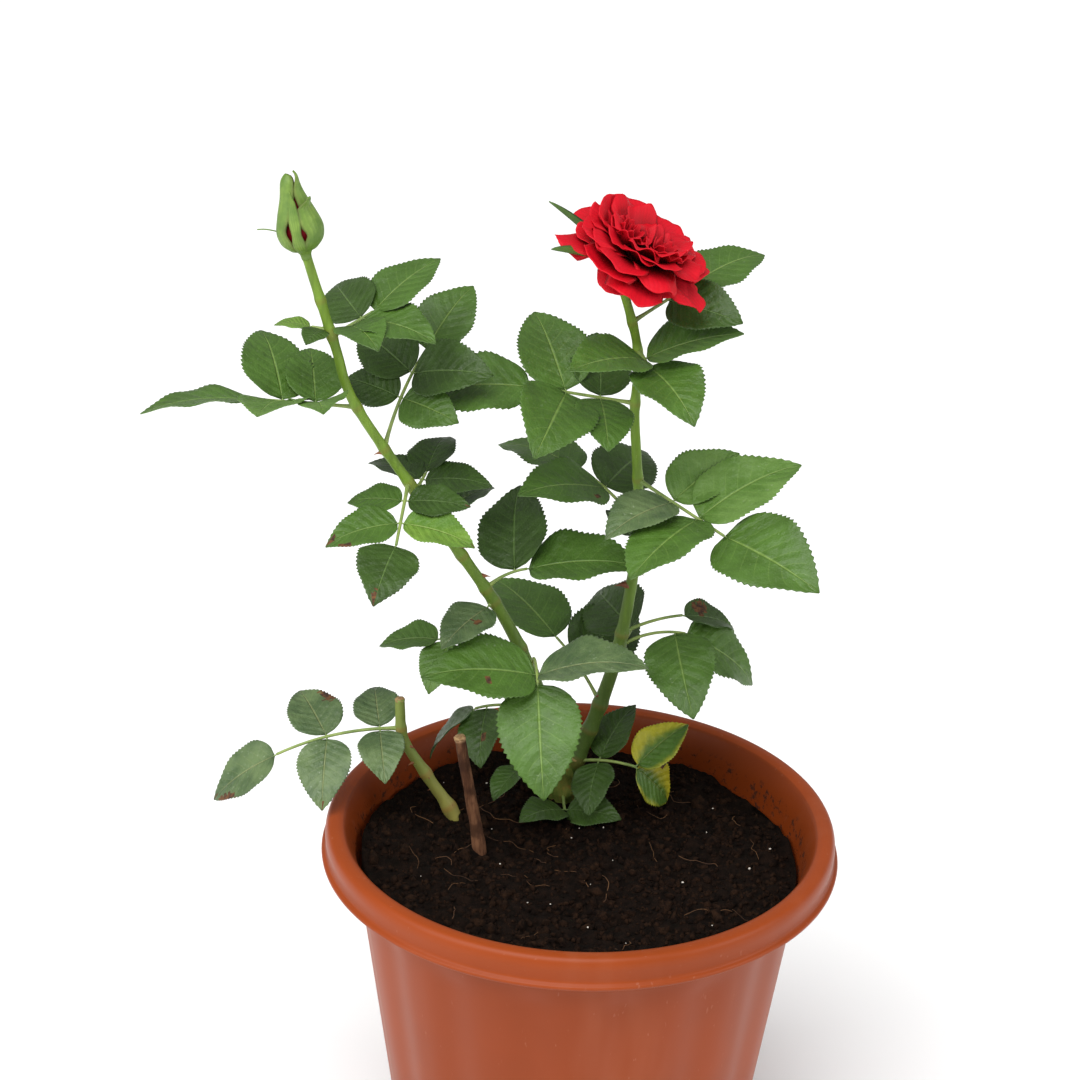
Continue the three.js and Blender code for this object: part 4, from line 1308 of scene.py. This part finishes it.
def length_setting(name, about, default):
    """A length in metres that a user can change."""
    return FloatProperty(name=name, description=about, default=default, min=0, unit="LENGTH", precision=4)


def colour_setting(name, about, default):
    """A colour that a user can change."""
    return FloatVectorProperty(name=name, description=about, default=default, subtype="COLOR", min=0, max=1)


class RosePotSettings(bpy.types.PropertyGroup):
    """Sizes and colour of the pot."""

    band_height: length_setting("Band height", "Height of the band round the rim", 15 * MM)
    mouth_radius: length_setting("Mouth radius", "Inner edge of the rim", 108.5 * MM)
    wall_radius: length_setting("Wall radius", "Outer wall just under the band", 106 * MM)
    wall: length_setting("Wall", "Thickness of the wall", 3 * MM)
    collar: length_setting("Collar", "Plain stretch of wall above the flutes", 10 * MM)
    flute_depth: length_setting("Flute depth", "How deep the flutes go", 1.6 * MM)
    wall_slope: FloatProperty(name="Slope", description="How fast the wall narrows downwards", default=0.14)
    flutes: IntProperty(name="Flutes", description="Number of flutes round the wall", default=16, min=3)
    pot_colour: colour_setting("Pot colour", "Colour of the plastic", linear(140, 59, 18))


class RoseBushSettings(bpy.types.PropertyGroup):
    """Colours of the plant, and what lies on the compost."""

    leaf_colour: colour_setting("Leaf colour", "Colour of a full-grown leaf", linear(74, 108, 36))
    petal_colour: colour_setting("Petal colour", "Colour of the bloom", linear(186, 6, 26))
    petal_thick: length_setting("Petal thickness", "Thickness of a petal", 0.35 * MM)
    crumbs: IntProperty(name="Crumbs", description="Loose crumbs on the compost", default=5200, min=0)
    fibres: IntProperty(name="Fibres", description="Root fibres on the compost", default=34, min=0)
    specks: IntProperty(name="Specks", description="White specks in the compost", default=26, min=0)
    seed: IntProperty(name="Seed", description="Chooses what is left to chance", default=7)


class RoseStageSettings(bpy.types.PropertyGroup):
    """Camera and light."""

    tilt: FloatProperty(name="Tilt", description="How far down the camera looks", default=np.radians(25.06),
                        subtype="ANGLE")
    camera_roll: FloatProperty(name="Roll", description="How far the camera is rolled", subtype="ANGLE",
                               default=np.radians(1.75))
    light: FloatProperty(name="Light", description="Strength of the lamps", default=1.0, min=0)
    sky: FloatProperty(name="Sky", description="Strength of the light from all round", default=0.4, min=0)


class MakeRosePot(bpy.types.Operator):
    """Turn the fluted plastic pot with its rim."""

    bl_idname = "rose.make_pot"
    bl_label = "Pot"

    def execute(self, context):
        build_pot(context.scene.rose_pot)
        return {"FINISHED"}


class MakeRoseCompost(bpy.types.Operator):
    """Fill the pot with compost, crumbs, root fibres and white specks."""

    bl_idname = "rose.make_compost"
    bl_label = "Compost"

    def execute(self, context):
        build_compost(context.scene.rose_pot, context.scene.rose_bush)
        return {"FINISHED"}


class MakeRoseStems(bpy.types.Operator):
    """Grow the two canes, the graft union and the two cut stubs, with their prickles."""

    bl_idname = "rose.make_stems"
    bl_label = "Stems"

    def execute(self, context):
        build_stems()
        return {"FINISHED"}


class MakeRoseLeaves(bpy.types.Operator):
    """Grow the compound leaves on their stalks."""

    bl_idname = "rose.make_leaves"
    bl_label = "Leaves"

    def execute(self, context):
        build_leaves(context.scene.rose_bush)
        return {"FINISHED"}


class MakeRoseBloom(bpy.types.Operator):
    """Open the bloom on the right cane."""

    bl_idname = "rose.make_bloom"
    bl_label = "Bloom"

    def execute(self, context):
        build_bloom(context.scene.rose_bush)
        return {"FINISHED"}


class MakeRoseBud(bpy.types.Operator):
    """Set the bud on the left cane."""

    bl_idname = "rose.make_bud"
    bl_label = "Bud"

    def execute(self, context):
        build_bud(context.scene.rose_bush)
        return {"FINISHED"}


class MakeRoseStage(bpy.types.Operator):
    """Lay the pale floor and set the lamps, the sky and the camera."""

    bl_idname = "rose.make_stage"
    bl_label = "Stage"

    def execute(self, context):
        build_stage(context.scene.rose_stage)
        return {"FINISHED"}


MAKERS = (MakeRosePot, MakeRoseCompost, MakeRoseStems, MakeRoseLeaves, MakeRoseBloom, MakeRoseBud,
          MakeRoseStage)
SETTINGS = {"rose_pot": RosePotSettings, "rose_bush": RoseBushSettings, "rose_stage": RoseStageSettings}


class RoseBushPanel(bpy.types.Panel):
    """The settings and the button for each part of the rose bush."""

    bl_idname = "VIEW3D_PT_rose_bush"
    bl_label = "Potted Rose Bush"
    bl_space_type = "VIEW_3D"
    bl_region_type = "UI"
    bl_category = "Rose Bush"

    def draw(self, context):
        """Lists every setting, then a button for every part."""
        for name, group in SETTINGS.items():
            box = self.layout.box()
            for setting in group.__annotations__:
                box.prop(getattr(context.scene, name), setting)
        for maker in MAKERS:
            self.layout.operator(maker.bl_idname)


CLASSES = (*SETTINGS.values(), *MAKERS, RoseBushPanel)


def register():
    """Registers the classes and gives the scene its settings."""
    for kind in CLASSES:
        bpy.utils.register_class(kind)
    for name, group in SETTINGS.items():
        setattr(bpy.types.Scene, name, PointerProperty(type=group))


def unregister():
    """Takes away what register added."""
    for name in SETTINGS:
        delattr(bpy.types.Scene, name)
    for kind in reversed(CLASSES):
        bpy.utils.unregister_class(kind)


def main():
    """Makes every part in order."""
    register()
    bpy.ops.rose.make_stage()
    bpy.ops.rose.make_pot()
    bpy.ops.rose.make_compost()
    bpy.ops.rose.make_stems()
    bpy.ops.rose.make_leaves()
    bpy.ops.rose.make_bloom()
    bpy.ops.rose.make_bud()


if __name__ == "__main__":
    main()
